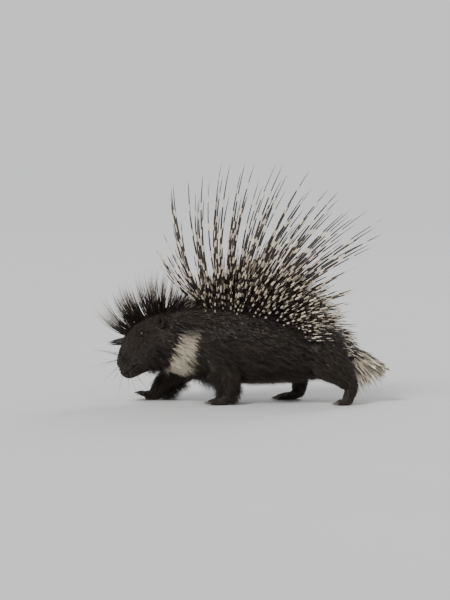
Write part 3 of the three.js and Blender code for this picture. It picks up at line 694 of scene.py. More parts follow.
# The rattle: hollow white capsules on thin stalks, at the end of the tail.
rattleQuills = {
    "seed": 47, "stations": [at["tailMiddle"], at["tailTip"] - 0.1], "rows": 4, "across": 5,
    "spread": [120, 150], "pitch": [-20, -30], "lean": [26, 18], "droop": -8, "length": [58, 44],
    "curl": 0.05, "unruly": 16, "thick": 2.9, "pale": 1.0, "bands": 1.2,
}
growStrands("rattleQuills", giveCells(fieldOf(rattleQuills)), "quills", banded,
            sides=10, rings=14, rootWidth=0.28, widestAt=0.82, taper=0.22)

# Dark bristles fill the back between the feet of the quills.
backBristles = {
    "seed": 27, "stations": [at["withers"] + 0.3, at["hips"] + 0.3], "rows": 44, "across": [26, 34, 36],
    "spread": [44, 66, 72], "pitch": [124, 74, 20], "lean": [38, 52, 46], "length": [84, 118, 90],
    "curl": [0.22, 0.12], "sideShorter": 0.3, "lengthSpread": 0.45, "unruly": 16, "thick": 0.8, "wide": 1.2,
    "overCuts": True,
}
growStrands("backBristles", giveUnwrap(fieldOf(backBristles)), "bristles", coarse,
            sides=4, rings=6, rootWidth=0.8, widestAt=0.3, taper=0.8)

# The crest: long bristles that rise from the head and the nape and turn up at their tips.
crestPatches = [
    {"seed": 30, "stations": [at["muzzle"] + 0.15, at["mouth"] - 0.05], "rows": 3, "across": [3, 4, 4],
     "spread": [14, 20], "pitch": [178, 190], "lean": [-9, -12], "length": [44, 62], "curl": [-0.04, -0.14],
     "darker": 0.35, "overCuts": True},
    {"seed": 31, "stations": [at["mouth"] + 0.15, at["brow"] - 0.3], "rows": 2, "across": 4,
     "spread": [20, 24], "pitch": [163, 152], "lean": [20, 26], "length": [128, 142], "curl": [0.36, 0.4]},
    {"seed": 33, "stations": [at["brow"] + 0.25, at["cheeks"] + 0.45], "rows": 3, "across": 5,
     "spread": [26, 32], "pitch": [146, 132], "lean": [26, 30], "length": [134, 126], "curl": [0.42, 0.34]},
    {"seed": 35, "stations": [at["ears"] + 0.05, at["nape"] + 0.3], "rows": 3, "across": 5,
     "spread": [32, 36], "pitch": [124, 98], "lean": [26, 30], "length": [146, 134], "curl": [0.26, 0.2]},
    {"seed": 37, "stations": [at["nape"] + 0.72, at["withers"] + 0.35], "rows": 4, "across": [6, 7],
     "spread": [38, 46], "pitch": [96, 24], "lean": [26, 22], "length": [98, 58, 44], "curl": [0.2, 0.12]},
]
crestFinish = {"sideShorter": 0.22, "loose": 0.08, "thick": 1.3, "wide": 1.7}
fineCrest = {"thick": 0.8, "wide": 1.0}
crestPlans = []
for index, patch in enumerate(crestPatches):
    patch = {**crestFinish, **patch}
    finer = denser(patch, seed=130 + index, rows=3.2, across=2.6, lengthSpread=0.42, unruly=12, **fineCrest)
    crestPlans += [fieldOf(patch), finer]
# Between these tufts the same bristles carry on, so that the crest is one, from the brow to the shoulders.
crestRidge = {
    "seed": 39, "stations": [at["mouth"] + 0.1, at["withers"] + 0.3], "rows": 34, "lean": 26,
    "across": [6, 10, 12, 14, 14], "spread": [18, 26, 34, 42, 48], "pitch": [166, 150, 134, 108, 56, 26],
    "length": [92, 112, 118, 122, 74, 50], "curl": [0.34, 0.4, 0.34, 0.24, 0.16], "lengthSpread": 0.5,
    "unruly": 12, "overCuts": True,
}
crestPlans.append(fieldOf({**crestFinish, **fineCrest, **crestRidge}))
growStrands("crestBristles", giveCells(joinPlans(*crestPlans)), "bristles", crestHair,
            sides=5, rings=9, rootWidth=0.8, widestAt=0.25, taper=0.9)
print("quills and crest grown")

# Skin: body, legs and toes in one.

skinPlan = {"voxel": 3.6, "smoothing": 3, "bodyRings": 180, "bodySides": 96, "noseDome": 5, "tailDome": 6,
            "lowest": 0.4}
# How far the skin lies inside the solids, by station: least on the face.
sinkTable = [0.6, 0.8, 1.0, 1.4, 2.0, 3.0, 4.0, 5.0, 5.5, 6, 6, 6, 6, 6, 5.5, 5, 4, 3, 2]

# Each leg from inside the body to the ball of its foot: x, z, half thickness front to back, half width.
legTable = {
    "frontLeft": {"side": -1, "set": 74, "toes": 4, "toeLength": 22, "toePitch": -3, "path": [
        (-75, 200, 52, 33), (-58, 150, 44, 33), (-26, 105, 38, 29), (-16, 70, 31, 25), (-20, 38, 26, 21),
        (-34, 15, 20, 23), (-56, 9, 13, 25)]},
    "frontRight": {"side": 1, "set": 76, "toes": 4, "toeLength": 26, "toePitch": 16, "path": [
        (-105, 195, 54, 33), (-124, 150, 52, 33), (-152, 107, 47, 29), (-190, 71, 37, 24), (-225, 35, 27, 20),
        (-244, 15, 20, 22), (-266, 12, 15, 24)]},
    "hindLeft": {"side": -1, "set": 82, "toes": 5, "toeLength": 16, "toePitch": -4, "path": [
        (255, 185, 66, 34), (280, 135, 60, 36), (317, 94, 40, 28), (342, 60, 23, 20), (341, 34, 18, 17),
        (333, 12, 16, 20), (321, 8, 11, 21)]},
    "hindRight": {"side": 1, "set": 82, "toes": 5, "toeLength": 20, "toePitch": -3, "path": [
        (195, 185, 66, 34), (178, 135, 60, 36), (184, 95, 42, 28), (194, 62, 27, 21), (192, 28, 20, 19),
        (176, 12, 15, 21), (148, 8, 12, 23)]},
}
legSink = [3, 3, 2.5, 2, 1.5, 1, 0.8]
toePlan = {
    "spread": 32, "apart": 1.55, "behind": 6, "half": 6.5, "knuckle": 1.6,
    "share": [0, 0.3, 0.6, 0.85, 1], "thick": [1.6, 0.6, 1.2, 0.4, -1.0], "wide": [0, -0.6, 0.2, -0.2, -1.6],
}


# Closed faces over rings of points, with a point at each end.
def closedLoft(rings, first, last):
    ringCount, sides = rings.shape[:2]
    points = np.vstack([rings.reshape(-1, 3), first, last])
    faces = []
    for ring in range(ringCount - 1):
        for side in range(sides):
            a, b = ring * sides + side, ring * sides + (side + 1) % sides
            faces.append((a, b, b + sides, a + sides))
    end = ringCount * sides
    for side in range(sides):
        faces.append((end, (side + 1) % sides, side))
        faces.append((end + 1, end - sides + side, end - sides + (side + 1) % sides))
    return points, faces


# Rounds an end: a few shrinking rings that run out by dome.
def roundedEnd(ring, centre, dome, steps=4):
    made = []
    for step in range(1, steps):
        turn = step / steps * math.pi / 2
        made.append(centre + (ring - centre) * math.cos(turn) + dome * math.sin(turn))
    return np.array(made), centre + dome


def bodyForm():
    station = np.linspace(0, lastStation, skinPlan["bodyRings"] + 1)
    angle = np.arange(skinPlan["bodySides"]) * 360 / skinPlan["bodySides"]
    grow = -np.interp(station, range(len(sinkTable)), sinkTable)
    rings = skinPoint(station[:, None], angle[None, :], grow[:, None])
    centres = bodyCentre(np.array([0, 0.1, lastStation - 0.1, lastStation]))
    ahead = unit(centres[0] - centres[1]) * skinPlan["noseDome"]
    behind = unit(centres[3] - centres[2]) * skinPlan["tailDome"]
    front, first = roundedEnd(rings[0], centres[0], ahead)
    back, last = roundedEnd(rings[-1], centres[3], behind)
    return closedLoft(np.concatenate([front[::-1], rings, back]), first, last)


def limbRings(centres, thick, wide, sides):
    forward = unit(np.gradient(centres, axis=0))
    across = unit(np.array([0, 1, 0]) - forward * forward[:, 1:2])
    upward = np.cross(forward, across)
    turn = np.arange(sides) * 2 * math.pi / sides
    ring = upward[:, None] * np.cos(turn)[None, :, None] * thick[:, None, None]
    return centres[:, None] + ring + across[:, None] * np.sin(turn)[None, :, None] * wide[:, None, None]


def limbForm(centres, thick, wide, sides=28):
    rings = limbRings(centres, thick, wide, sides)
    start, end = unit(centres[0] - centres[1]), unit(centres[-1] - centres[-2])
    front, first = roundedEnd(rings[0], centres[0], start * thick[0] * 0.5)
    back, last = roundedEnd(rings[-1], centres[-1], end * thick[-1] * 0.6)
    return closedLoft(np.concatenate([front[::-1], rings, back]), first, last)


def legLine(leg, steps=41):
    y = leg["side"] * leg["set"]
    table = np.array([(x, y, z, thick, wide) for x, z, thick, wide in leg["path"]], float)
    table[:, 3:] -= np.array(legSink)[:, None]
    line = curveThrough(table, np.linspace(0, len(table) - 1, steps))
    return line[:, :3], line[:, 3], line[:, 4]


def toeLines(leg):
    x, z, _, wide = leg["path"][-1]
    made = []
    for toe in range(leg["toes"]):
        place = toe / (leg["toes"] - 1) - 0.5
        aside = place * toePlan["apart"] * wide
        root = np.array([x + toePlan["behind"], leg["side"] * leg["set"] + aside, z])
        aim = heading(180 - leg["toePitch"], place * toePlan["spread"])
        reach = leg["toeLength"] * (1.1 - 1.2 * place * place) + toePlan["behind"]
        made.append((root, aim, reach))
    return made


def toeForm(root, aim, reach):
    share = np.linspace(0, 1, 9)
    centres = root + aim * (share * reach)[:, None]
    centres[:, 2] += toePlan["knuckle"] * np.sin(share * math.pi * 1.1)
    half = toePlan["half"] - 0.4
    thick, wide = (half + np.interp(share, toePlan["share"], toePlan[key]) for key in ("thick", "wide"))
    return limbForm(centres, thick, wide, 16)


# Changes a mesh through the functions of bmesh.
def edited(mesh, change):
    made = bmesh.new()
    made.from_mesh(mesh)
    change(made)
    made.to_mesh(mesh)
    made.free()
    return mesh


# One mesh of several forms, each its points and faces.
def meshOf(name, forms):
    points, faces, start = [], [], 0
    for formPoints, formFaces in forms:
        points.append(formPoints)
        faces += [tuple(start + index for index in face) for face in formFaces]
        start += len(formPoints)
    mesh = bpy.data.meshes.new(name)
    mesh.from_pydata(np.vstack(points).tolist(), [], faces)
    return edited(mesh, lambda made: bmesh.ops.recalc_face_normals(made, faces=made.faces))


# The mesh as it is after the modifiers, each a kind and its settings.
def applied(mesh, *modifiers):
    holder = bpy.data.objects.new("working", mesh)
    scene.collection.objects.link(holder)
    for kind, settings in modifiers:
        modifier = holder.modifiers.new(kind, kind)
        for key, value in settings.items():
            setattr(modifier, key, value)
    result = bpy.data.meshes.new_from_object(holder.evaluated_get(bpy.context.evaluated_depsgraph_get()))
    bpy.data.objects.remove(holder)
    bpy.data.meshes.remove(mesh)
    return result


forms = [bodyForm()]
for leg in legTable.values():
    forms.append(limbForm(*legLine(leg)))
    forms += [toeForm(*line) for line in toeLines(leg)]
skin = applied(
    meshOf("skinForms", forms),
    ("REMESH", {"mode": "VOXEL", "voxel_size": skinPlan["voxel"], "use_smooth_shade": True}),
    ("SMOOTH", {"factor": 0.5, "iterations": skinPlan["smoothing"]}),
)
print("skin joined:", len(skin.polygons), "faces")


# Reads one property of all vertices, edges or triangles: a row for each.
def rowsOf(items, key, width=3, kind=np.float32):
    values = np.empty(len(items) * width, kind)
    items.foreach_get(key, values)
    return values.reshape(-1, width)


def coordsOf(mesh):
    return rowsOf(mesh.vertices, "co").astype(float)


def normalsOf(mesh):
    return rowsOf(mesh.vertex_normals, "vector").astype(float)


def edgesOf(mesh):
    return rowsOf(mesh.edges, "vertices", 2, np.int32)


def moveTo(mesh, points):
    mesh.vertices.foreach_set("co", flat(points))
    mesh.update()


firstLeg = 20  # the legs are stations 20 to 23 of the map below, in the order of legTable
# How far the coat's lie is drawn down, by station.
coatFall = {"station": [0, 3, 6, 9, 14, 18], "down": [0.15, 0.3, 0.55, 0.5, 0.45, 0.2]}
legMap = {"steps": 61, "sides": 20, "from": 0.22, "fall": np.array([0.35, 0, -0.2])}
toeMap = {"steps": 5, "sides": 8, "thick": 6.5, "wide": 6.0, "fall": np.array([0, 0, -0.1])}


# Rows of the map for points round a limb: the place, the coat's lie, then station, angle, 1 for a leg and the
# share of the leg.
def limbMap(station, centres, thick, wide, lie, share, sides):
    rings = limbRings(centres, thick, wide, sides).reshape(-1, 3)
    one = np.ones(len(rings))
    turn = np.tile(np.arange(sides) * 360.0 / sides, len(centres))
    return np.c_[rings, np.repeat(lie, sides, axis=0), station * one, turn, one, np.repeat(share, sides)]


# A map of the body, to look up where any point of the skin is and how the coat lies there.
def skinMap():
    station = np.arange(0, lastStation + 0.01, 0.12)
    angle = np.arange(-180, 180, 6.0)
    s, a = (grid.ravel() for grid in np.meshgrid(station, angle, indexing="ij"))
    points = skinPoint(s, a, -np.interp(s, range(len(sinkTable)), sinkTable))
    step = 0.05
    lie = unit(skinPoint(np.minimum(s + step, lastStation), a) - skinPoint(np.maximum(s - step, 0), a))
    down = np.interp(s, coatFall["station"], coatFall["down"])
    lie = unit(lie + down[:, None] * np.array([0, 0, -1.0]))
    rows = [np.c_[points, lie, s, a, np.zeros(len(s)), np.zeros(len(s))]]
    for index, leg in enumerate(legTable.values()):
        centres, thick, wide = legLine(leg, legMap["steps"])
        lie = unit(unit(np.gradient(centres, axis=0)) + legMap["fall"])
        share = np.linspace(0, 1, legMap["steps"])
        block = limbMap(firstLeg + index, centres, thick, wide, lie, share, legMap["sides"])
        rows.append(block[block[:, 9] > legMap["from"]])
        for root, aim, reach in toeLines(leg):
            t = np.linspace(0.2, 1, toeMap["steps"])
            centres = root + aim * (t * reach)[:, None]
            thick, wide = (np.full(toeMap["steps"], toeMap[key]) for key in ("thick", "wide"))
            lie = np.tile(unit(aim + toeMap["fall"]), (toeMap["steps"], 1))
            rows.append(limbMap(firstLeg + index, centres, thick, wide, lie, 1 + 0.2 * t, toeMap["sides"]))
    return np.vstack(rows)


bodyMap = skinMap()
mapTree = kdtree.KDTree(len(bodyMap))
for index, row in enumerate(bodyMap[:, :3]):
    mapTree.insert(row, index)
mapTree.balance()


# The nearest place on the map for each point, and the coat's lie blended from a few neighbours.
def lookUp(points, neighbours=6):
    found = np.empty((len(points), neighbours), int)
    away = np.empty((len(points), neighbours))
    for index, point in enumerate(points):
        near = mapTree.find_n(point, neighbours)
        found[index] = [item[1] for item in near]
        away[index] = [item[2] for item in near]
    weight = 1 / (away + 0.5) ** 2
    weight /= weight.sum(axis=1, keepdims=True)
    nearest = bodyMap[found[:, 0]]
    lie = unit((bodyMap[found][:, :, 3:6] * weight[:, :, None]).sum(axis=1))
    return {"lie": lie, "station": nearest[:, 6], "angle": nearest[:, 7], "leg": nearest[:, 8] > 0.5,
            "share": nearest[:, 9]}


# The head, carved finer.

earPlan = {
    "station": at["nape"] - 0.12, "angle": 62, "out": 8, "shift": np.array([3.0, 0, 8.0]),
    "turn": (30, 22, 34), "height": 44, "width": 33, "deep": 22, "wall": 1.8, "hairs": 520,
}


def earCentre(side):
    station, spot = earPlan["station"], side * earPlan["angle"]
    return skinPoint(station, spot) + skinNormal(station, spot) * earPlan["out"] + earPlan["shift"]


headPlan = {
    "until": at["ears"] + 0.6, "lineReach": 9, "eyeReach": 17,
    # Broad forms: height, then station and its width, angle and its width.
    "forms": [
        (1.6, 1.0, 0.8, 60, 40),  # a swollen snout pad
        (10.5, 1.1, 0.95, 180, 46),  # a full chin
        (2.0, 3.3, 0.5, 44, 16),  # brows over the eyes
        (-1.8, 2.7, 0.6, 72, 20),  # hollows before them
        (2.2, 4.3, 0.8, 112, 26),  # full cheeks
    ],
}
# A groove has a swollen edge on both sides: edge is its height, distance and width, and cut depth and width.
mouthPlan = {"from": 0.35, "to": at["mouth"] + 0.3, "corner": 118, "edge": (2.2, 5.0, 2.8), "cut": (4.4, 1.9)}
nostrilPlan = {"station": 0.5, "angle": 46, "edge": (1.8, 4.6, 1.9), "cut": (6.0, 2.3)}
cleftPlan = {"edge": (0.0, 0.0, 1.0), "cut": (2.2, 1.6)}
footPlan = {"from": 0.84, "until": 60}


def mouthLine(steps=24):
    aside = np.linspace(-1, 1, steps + 1)
    station = mouthPlan["from"] + (mouthPlan["to"] - mouthPlan["from"]) * np.abs(aside) ** 1.6
    angle = 180 - np.sign(aside) * (180 - mouthPlan["corner"]) * np.abs(aside) ** 0.8
    return skinPoint(station, angle, -0.8)


def nostrilLine(side, steps=6):
    share = np.linspace(0, 1, steps)
    angle = side * (nostrilPlan["angle"] - 14 + 30 * share)
    station = nostrilPlan["station"] + 0.16 * np.sin(share * 4.2) + 0.12 * share
    return skinPoint(station, angle, -0.6)


def cleftLine():
    station = np.linspace(0.05, mouthPlan["from"], 5)
    return skinPoint(station, np.full(5, 180.0), -0.6)


def distanceTo(line, points):
    best = np.full(len(points), 1e9)
    for start, end in zip(line[:-1], line[1:]):
        step = end - start
        t = np.clip(((points - start) @ step) / (step @ step), 0, 1)
        best = np.minimum(best, np.linalg.norm(points - start - t[:, None] * step, axis=1))
    return best


# Divides the faces that choose picks by their centres.
def refine(mesh, choose):
    def divide(made):
        chosen = choose(np.array([face.calc_center_median() for face in made.faces]))
        edges = {edge for face, pick in zip(made.faces, chosen) if pick for edge in face.edges}
        bmesh.ops.subdivide_edges(made, edges=list(edges), cuts=1, use_grid_fill=True)

    edited(mesh, divide)


mouth, nostrils = mouthLine(), [nostrilLine(-1), nostrilLine(1)]
eyes, earRoots = [eyeCentre(-1), eyeCentre(1)], [earCentre(-1), earCentre(1)]


def awayFrom(centres, points):
    return np.min([np.linalg.norm(points - centre, axis=1) for centre in centres], axis=0)


def awayFromLines(lines, points):
    return np.min([distanceTo(line, points) for line in lines], axis=0)


def isHeadOrFoot(points):
    found = lookUp(points, 1)
    head = ~found["leg"] & (found["station"] < headPlan["until"])
    return head | found["leg"] & (found["share"] > footPlan["from"]) & (points[:, 2] < footPlan["until"])


def isDetail(points):
    onLine = awayFromLines((mouth, *nostrils), points) < headPlan["lineReach"]
    return onLine | (awayFrom(eyes, points) < headPlan["eyeReach"])


refine(skin, isHeadOrFoot)
refine(skin, isDetail)


# Each pass draws the values half way towards the mean of their neighbours, where mask says so.
def relaxed(points, edges, mask, times):
    for _ in range(times):
        total = np.zeros_like(points)
        count = np.zeros(len(points))
        np.add.at(total, edges[:, 0], points[edges[:, 1]])
        np.add.at(total, edges[:, 1], points[edges[:, 0]])
        np.add.at(count, edges.ravel(), 1)
        points = points + mask[:, None] * 0.5 * (total / count[:, None] - points)
    return points


def smoothStep(value, low, high):
    t = np.clip((value - low) / (high - low), 0, 1)
    return t * t * (3 - 2 * t)


def bell(value, width):
    return np.exp(-((value / width) ** 2))


def groove(away, plan):
    (height, distance, width), (depth, narrow) = plan["edge"], plan["cut"]
    return height * bell(away - distance, width) - depth * bell(away, narrow)


def carveHead(mesh):
    found = lookUp(coordsOf(mesh), 1)
    head = (~found["leg"] & (found["station"] < headPlan["until"] + 0.4)).astype(float)
    points = relaxed(coordsOf(mesh), edgesOf(mesh), head, 4)
    moveTo(mesh, points)
    normals = normalsOf(mesh)
    station, angle = found["station"], np.abs(found["angle"])
    rise = np.zeros(len(points))
    for height, place, long, spot, wide in headPlan["forms"]:
        rise += height * bell(station - place, long) * bell(angle - spot, wide)
    rise += groove(distanceTo(mouth, points), mouthPlan)
    for line in nostrils:
        rise += groove(distanceTo(line, points), nostrilPlan)
    rise += groove(distanceTo(cleftLine(), points), cleftPlan)
    points = points + normals * (rise * head)[:, None]
    for side in (-1, 1):
        points = withLids(points, side)
    points[:, 2] = np.maximum(points[:, 2], skinPlan["lowest"])
    moveTo(mesh, points)


lidPlan = {"reach": 15, "over": 1.2, "under": 1.6, "halfWide": 8.0, "halfHigh": 6.2, "open": 1.06,
           "edge": 0.16}


# Lids: a shell a little wider than the eye, open in an almond over it, with a fold round it.
def withLids(points, side):
    centre = eyeCentre(side)
    outward = skinNormal(eyePlan["station"], side * eyePlan["angle"])
    forward = unit(np.array([-1.0, 0, -0.35]) - outward * np.dot([-1.0, 0, -0.35], outward))
    upward = np.cross(outward, forward) * -side
    upward = upward * np.sign(upward[2])
    local = points - centre
    across, high, out = local @ forward, local @ upward, local @ outward
    radius = np.hypot(across, high)
    near = (radius < lidPlan["reach"]) & (out > -4)
    lid = np.sqrt(np.maximum((eyePlan["radius"] + lidPlan["over"]) ** 2 - radius**2, 0))
    pit = np.sqrt(np.maximum((eyePlan["radius"] - lidPlan["under"]) ** 2 - radius**2, 0))
    almond = np.hypot(across / lidPlan["halfWide"], (high + 0.2) / lidPlan["halfHigh"])  # 1 at the lids' edge
    blend = np.clip((radius - 8.0) / 6.0, 0, 1)
    fold, rim = 0.7 * bell(almond - 1.75, 0.22), 0.5 * bell(almond - 1.12, 0.16)
    target = np.maximum(lid, out) * (1 - blend) + out * blend - fold + rim
    openness = np.clip((lidPlan["open"] - almond) / lidPlan["edge"], 0, 1)
    target = target * (1 - openness) + pit * openness
    return np.where(near[:, None], points + outward * (target - out)[:, None], points)


uncarved = coordsOf(skin)
carveHead(skin)
print("head carved:", len(skin.polygons), "faces")

# Markings, then the coat's lie and length over the skin.

collarPlan = {"station": 6.6, "slant": 0.9, "half": 0.34, "wider": 0.20, "edge": 0.22, "from": (72, 92)}


# The white half collar across the throat, from shoulder to shoulder.
def collar(station, angle):
    low = np.abs(angle)
    away = np.abs(station - (collarPlan["station"] + collarPlan["slant"] * (180 - low) / 80))
    half = collarPlan["half"] + collarPlan["wider"] * smoothStep(low, 90, 170)
    return smoothStep(low, *collarPlan["from"]) * (1 - smoothStep(away, half, half + collarPlan["edge"]))


# The coat by station: its length on top, side and belly, and how densely it grows.
coatTable = {
    "station": [0, 1, 2, 3, 4, 5, 6, 7, 8, 9, 11, 13, 14, 15, 16, 18],
    "top": [6, 9, 12, 15, 19, 23, 27, 31, 34, 34, 34, 34, 32, 28, 22, 16],
    "side": [6, 8, 10, 13, 17, 22, 29, 37, 43, 47, 50, 48, 42, 36, 26, 16],
    "belly": [5, 7, 10, 15, 21, 26, 34, 42, 46, 46, 46, 46, 42, 34, 24, 14],
    "weight": [5.0, 4.6, 4.2, 3.8, 3.2, 2.6, 2.0, 1.6, 1.3, 1.15, 1.05, 1.05, 1.1, 1.2, 1.4, 1.6],
}
# How the coat changes along the body or a leg: stops, then the values at them.
coatPlan = {
    "flow": 45,  # passes that smooth the lie of the coat
    "rise": ([0, 4, 7, 12, 18], [0.36, 0.38, 0.42, 0.40, 0.5]),
    "wide": ([0, 3, 5, 7, 10, 14, 18], [0.42, 0.5, 0.65, 0.95, 1.3, 1.2, 0.8]),
    "legLength": ([0.2, 0.4, 0.6, 0.8, 0.95, 1.2], [38, 32, 22, 14, 9, 5]),
    "legWide": ([0.2, 0.6, 1.2], [1.0, 0.7, 0.45]),
}


def byStation(station, key):
    return np.interp(station, coatTable["station"], coatTable[key])


def coatLength(station, angle):
    top, side, belly = (byStation(station, key) for key in ("top", "side", "belly"))
    low = np.abs(angle)
    return np.where(low < 90, top + (side - top) * low / 90, side + (belly - side) * (low - 90) / 90)


skinPoints = coordsOf(skin)
skinNormals = normalsOf(skin)
where = lookUp(skinPoints)
# The coat flows from flank to thigh and from shoulder to foreleg without a parting.
where["lie"] = unit(relaxed(where["lie"], edgesOf(skin), np.ones(len(skinPoints)), coatPlan["flow"]))
station, angle, share, onBody = where["station"], where["angle"], where["share"], ~where["leg"]
low = np.abs(angle)
legShare = np.where(onBody, 0, share)
hairLength = np.where(onBody, coatLength(station, angle), np.interp(legShare, *coatPlan["legLength"]))
white = np.where(onBody, collar(station, angle), 0.0)
nose = np.where(onBody, (1 - smoothStep(station, 0.15, 0.6)) * (1 - smoothStep(low, 60, 110)), 0.0)
sole = smoothStep(-skinNormals[:, 2], 0.35, 0.8) * (skinPoints[:, 2] < 14)
feet = np.where(onBody, 0.0, smoothStep(legShare, 0.9, 1.05))
lids = 1 - smoothStep(awayFrom(eyes, skinPoints), 9.0, 11.0)
lips = 1 - smoothStep(distanceTo(mouth, uncarved), 1.0, 3.0)
nostrilRims = 1 - smoothStep(awayFromLines(nostrils, skinPoints), 2, 6)
bare = np.clip(nose + sole + feet * 0.45 + lids + lips * 0.8 + nostrilRims, 0, 1)
warmth = np.clip(sole * 0.8 + lips * 0.2 + nose * 0.1, 0, 1)

storeVectors(skin, "marks", np.c_[bare, white, warmth])
skin.vertices.foreach_set("co", flat(toFrame(skinPoints)))
dress(skin, hide)
skin.update()
skin.name = "hide"
hidePiece = addPiece("hide", skin)
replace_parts(hidePiece, "head", "neck", "torso", "rump", "tail",
            "front_left_leg", "front_right_leg", "hind_left_leg", "hind_right_leg")
print("hide marked")

# The coat.

skin.calc_loop_triangles()
triangles = rowsOf(skin.loop_triangles, "vertices", 3, np.int32)
corners = skinPoints[triangles]
areas = np.linalg.norm(np.cross(corners[:, 1] - corners[:, 0], corners[:, 2] - corners[:, 0]), axis=1) / 2
print("  skin triangles:", len(triangles), "area, m2:", round(float(areas.sum()) / 1e6, 3))


unruly = 0.22  # how far the coat's bristles stray from its lie
shortestHair, longestHair = 0.6, 1.08


# Scatters roots over the triangles that the weights favour, and gives each its bristle.
def coatPlans(seed, count, thick, curl, weights):
    draws = np.random.RandomState(seed)
    perTriangle = areas * weights[triangles].mean(axis=1)
    chosen = draws.choice(len(triangles), size=count, p=perTriangle / perTriangle.sum())
    u, v = draws.rand(2, count)
    flip = u + v > 1
    u, v = np.where(flip, 1 - u, u), np.where(flip, 1 - v, v)
    parts = np.stack([1 - u - v, u, v], axis=1)[:, :, None]

    def blended(values):
        return (values[triangles[chosen]] * parts).sum(axis=1)

    def blendedNumber(values):
        return (values[triangles[chosen]] * parts[:, :, 0]).sum(axis=1)

    root = blended(skinPoints)
    normal = unit(blended(skinNormals))
    lie = blended(where["lie"]) + draws.normal(0, unruly, (count, 3))
    lie = unit(lie - normal * (lie * normal).sum(axis=1, keepdims=True))
    steep = blendedNumber(hairRise) * draws.uniform(0.75, 1.3, count)
    aim = unit(lie + normal * steep[:, None])
    reach = blendedNumber(hairLength) * draws.uniform(shortestHair, longestHair, count)
    first = triangles[chosen][:, 0]
    place = np.where(onBody[first][:, None], unwrapPlace(station[first], angle[first]), legPlace(first))
    return {
        "root": root - normal * np.minimum(1.2, 0.09 * reach)[:, None], "aim": aim, "length": reach,
        "bend": -normal * (curl * reach)[:, None],
        "wide": blendedNumber(hairWide) * draws.uniform(0.75, 1.2, count), "thick": np.full(count, thick),
        "place": place, "patch": np.full((count, 2), bakePlan["patch"]), "tone": draws.rand(count),
        "pale": np.clip(blendedNumber(white) * 1.15 + draws.normal(0, 0.06, count), 0, 1),
        "bands": np.full(count, 1.0),
    }


# Where a point of a leg's skin is on the bake map.
def legPlace(index):
    column = bakePlan["legsFrom"] + bakePlan["legStep"] * (station[index] - firstLeg)
    column = column + bakePlan["legWide"] * np.clip(share[index] / 1.2, 0, 1)
    return np.c_[column, bakePlan["margin"] + bakePlan["high"] * angle[index] / 360]


furry = (1 - np.clip(bare * 1.15, 0, 1)) * (1 - sole) * smoothStep(awayFrom(earRoots, skinPoints), 9, 13)
density = np.where(onBody, byStation(station, "weight"), 2.0 + 2.0 * legShare)
hairRise = np.where(onBody, np.interp(station, *coatPlan["rise"]), 0.34)
hairRise = hairRise + np.where(onBody, 0.55 * smoothStep(low, 130, 170) * (station > 4), 0)
hairWide = np.where(onBody, np.interp(station, *coatPlan["wide"]), np.interp(legShare, *coatPlan["legWide"]))
faceEnd, neckEnd, bellyFrom = 5.2, 8.6, 140  # two stations, and an angle
isFace = onBody & (station < faceEnd)
isTrunk = onBody & (station >= neckEnd)

regions = {
    "leftFaceHair": {"seed": 60, "count": 8900, "thick": 0.3, "curl": 0.14, "where": isFace & (angle < 0)},
    "rightFaceHair": {"seed": 61, "count": 8900, "thick": 0.3, "curl": 0.14, "where": isFace & (angle >= 0)},
    "neckBristles": {"seed": 62, "count": 8000, "thick": 0.45, "curl": 0.3,
                     "where": onBody & (station >= faceEnd) & (station < neckEnd)},
    "leftFlankBristles": {"seed": 63, "count": 8200, "thick": 0.55, "curl": 0.28, "rings": 4,
                          "where": isTrunk & (angle < 0) & (low < bellyFrom)},
    "rightFlankBristles": {"seed": 64, "count": 8200, "thick": 0.55, "curl": 0.28, "rings": 4,
                           "where": isTrunk & (angle >= 0) & (low < bellyFrom)},
    "bellyHair": {"seed": 65, "count": 7600, "thick": 0.5, "curl": 0.1,
                  "where": isTrunk & (low >= bellyFrom)},
    "foreLegHair": {"seed": 66, "count": 8400, "thick": 0.4, "curl": 0.18,
                    "where": ~onBody & (station < firstLeg + 2)},
    "hindLegHair": {"seed": 67, "count": 8400, "thick": 0.4, "curl": 0.18,
                    "where": ~onBody & (station >= firstLeg + 2)},
}
hairForm = {"sides": 3, "rootWidth": 0.8, "widestAt": 0.3, "taper": 0.9}
for name, region in regions.items():
    own = {key: region[key] for key in ("seed", "count", "thick", "curl")}
    plans = coatPlans(**own, weights=region["where"] * furry * density)
    growStrands(name, plans, "bristles", coarse, rings=region.get("rings", 3), **hairForm)

# Longer locks that break the outline: throat, chest, belly, flanks, and the edges of the legs. Each place
# grows a bunch of bristles.
lockFinish = {"lean": 0, "curl": 0.2, "sideShorter": 0, "unruly": 10, "loose": 0.3, "flat": True}
hanging = {"middle": 180, "flat": False, "lean": -14}
lockPatches = [
    {"seed": 52, "stations": [at["brow"] + 0.4, at["ears"] + 0.9], "rows": 4, "spread": 30, "across": 2,
     "pitch": [-38, -58], "length": 34, **hanging},
    {"seed": 57, "stations": [at["withers"] + 0.4, at["ribs"] - 0.2], "rows": 4, "spread": 34, "across": 3,
     "pitch": [-50, -44], "length": [78, 64], **hanging},
    {"seed": 59, "stations": [at["ribs"] + 0.2, at["hips"] - 0.2], "rows": 5, "spread": 36, "across": 2,
     "pitch": -30, "length": 34, **hanging},
    {"seed": 60, "stations": [at["withers"] - 0.1, at["shoulders"] + 0.6], "rows": 4, "spread": 26,
     "across": 2, "pitch": [-72, -58], "length": [38, 52], **hanging},
]
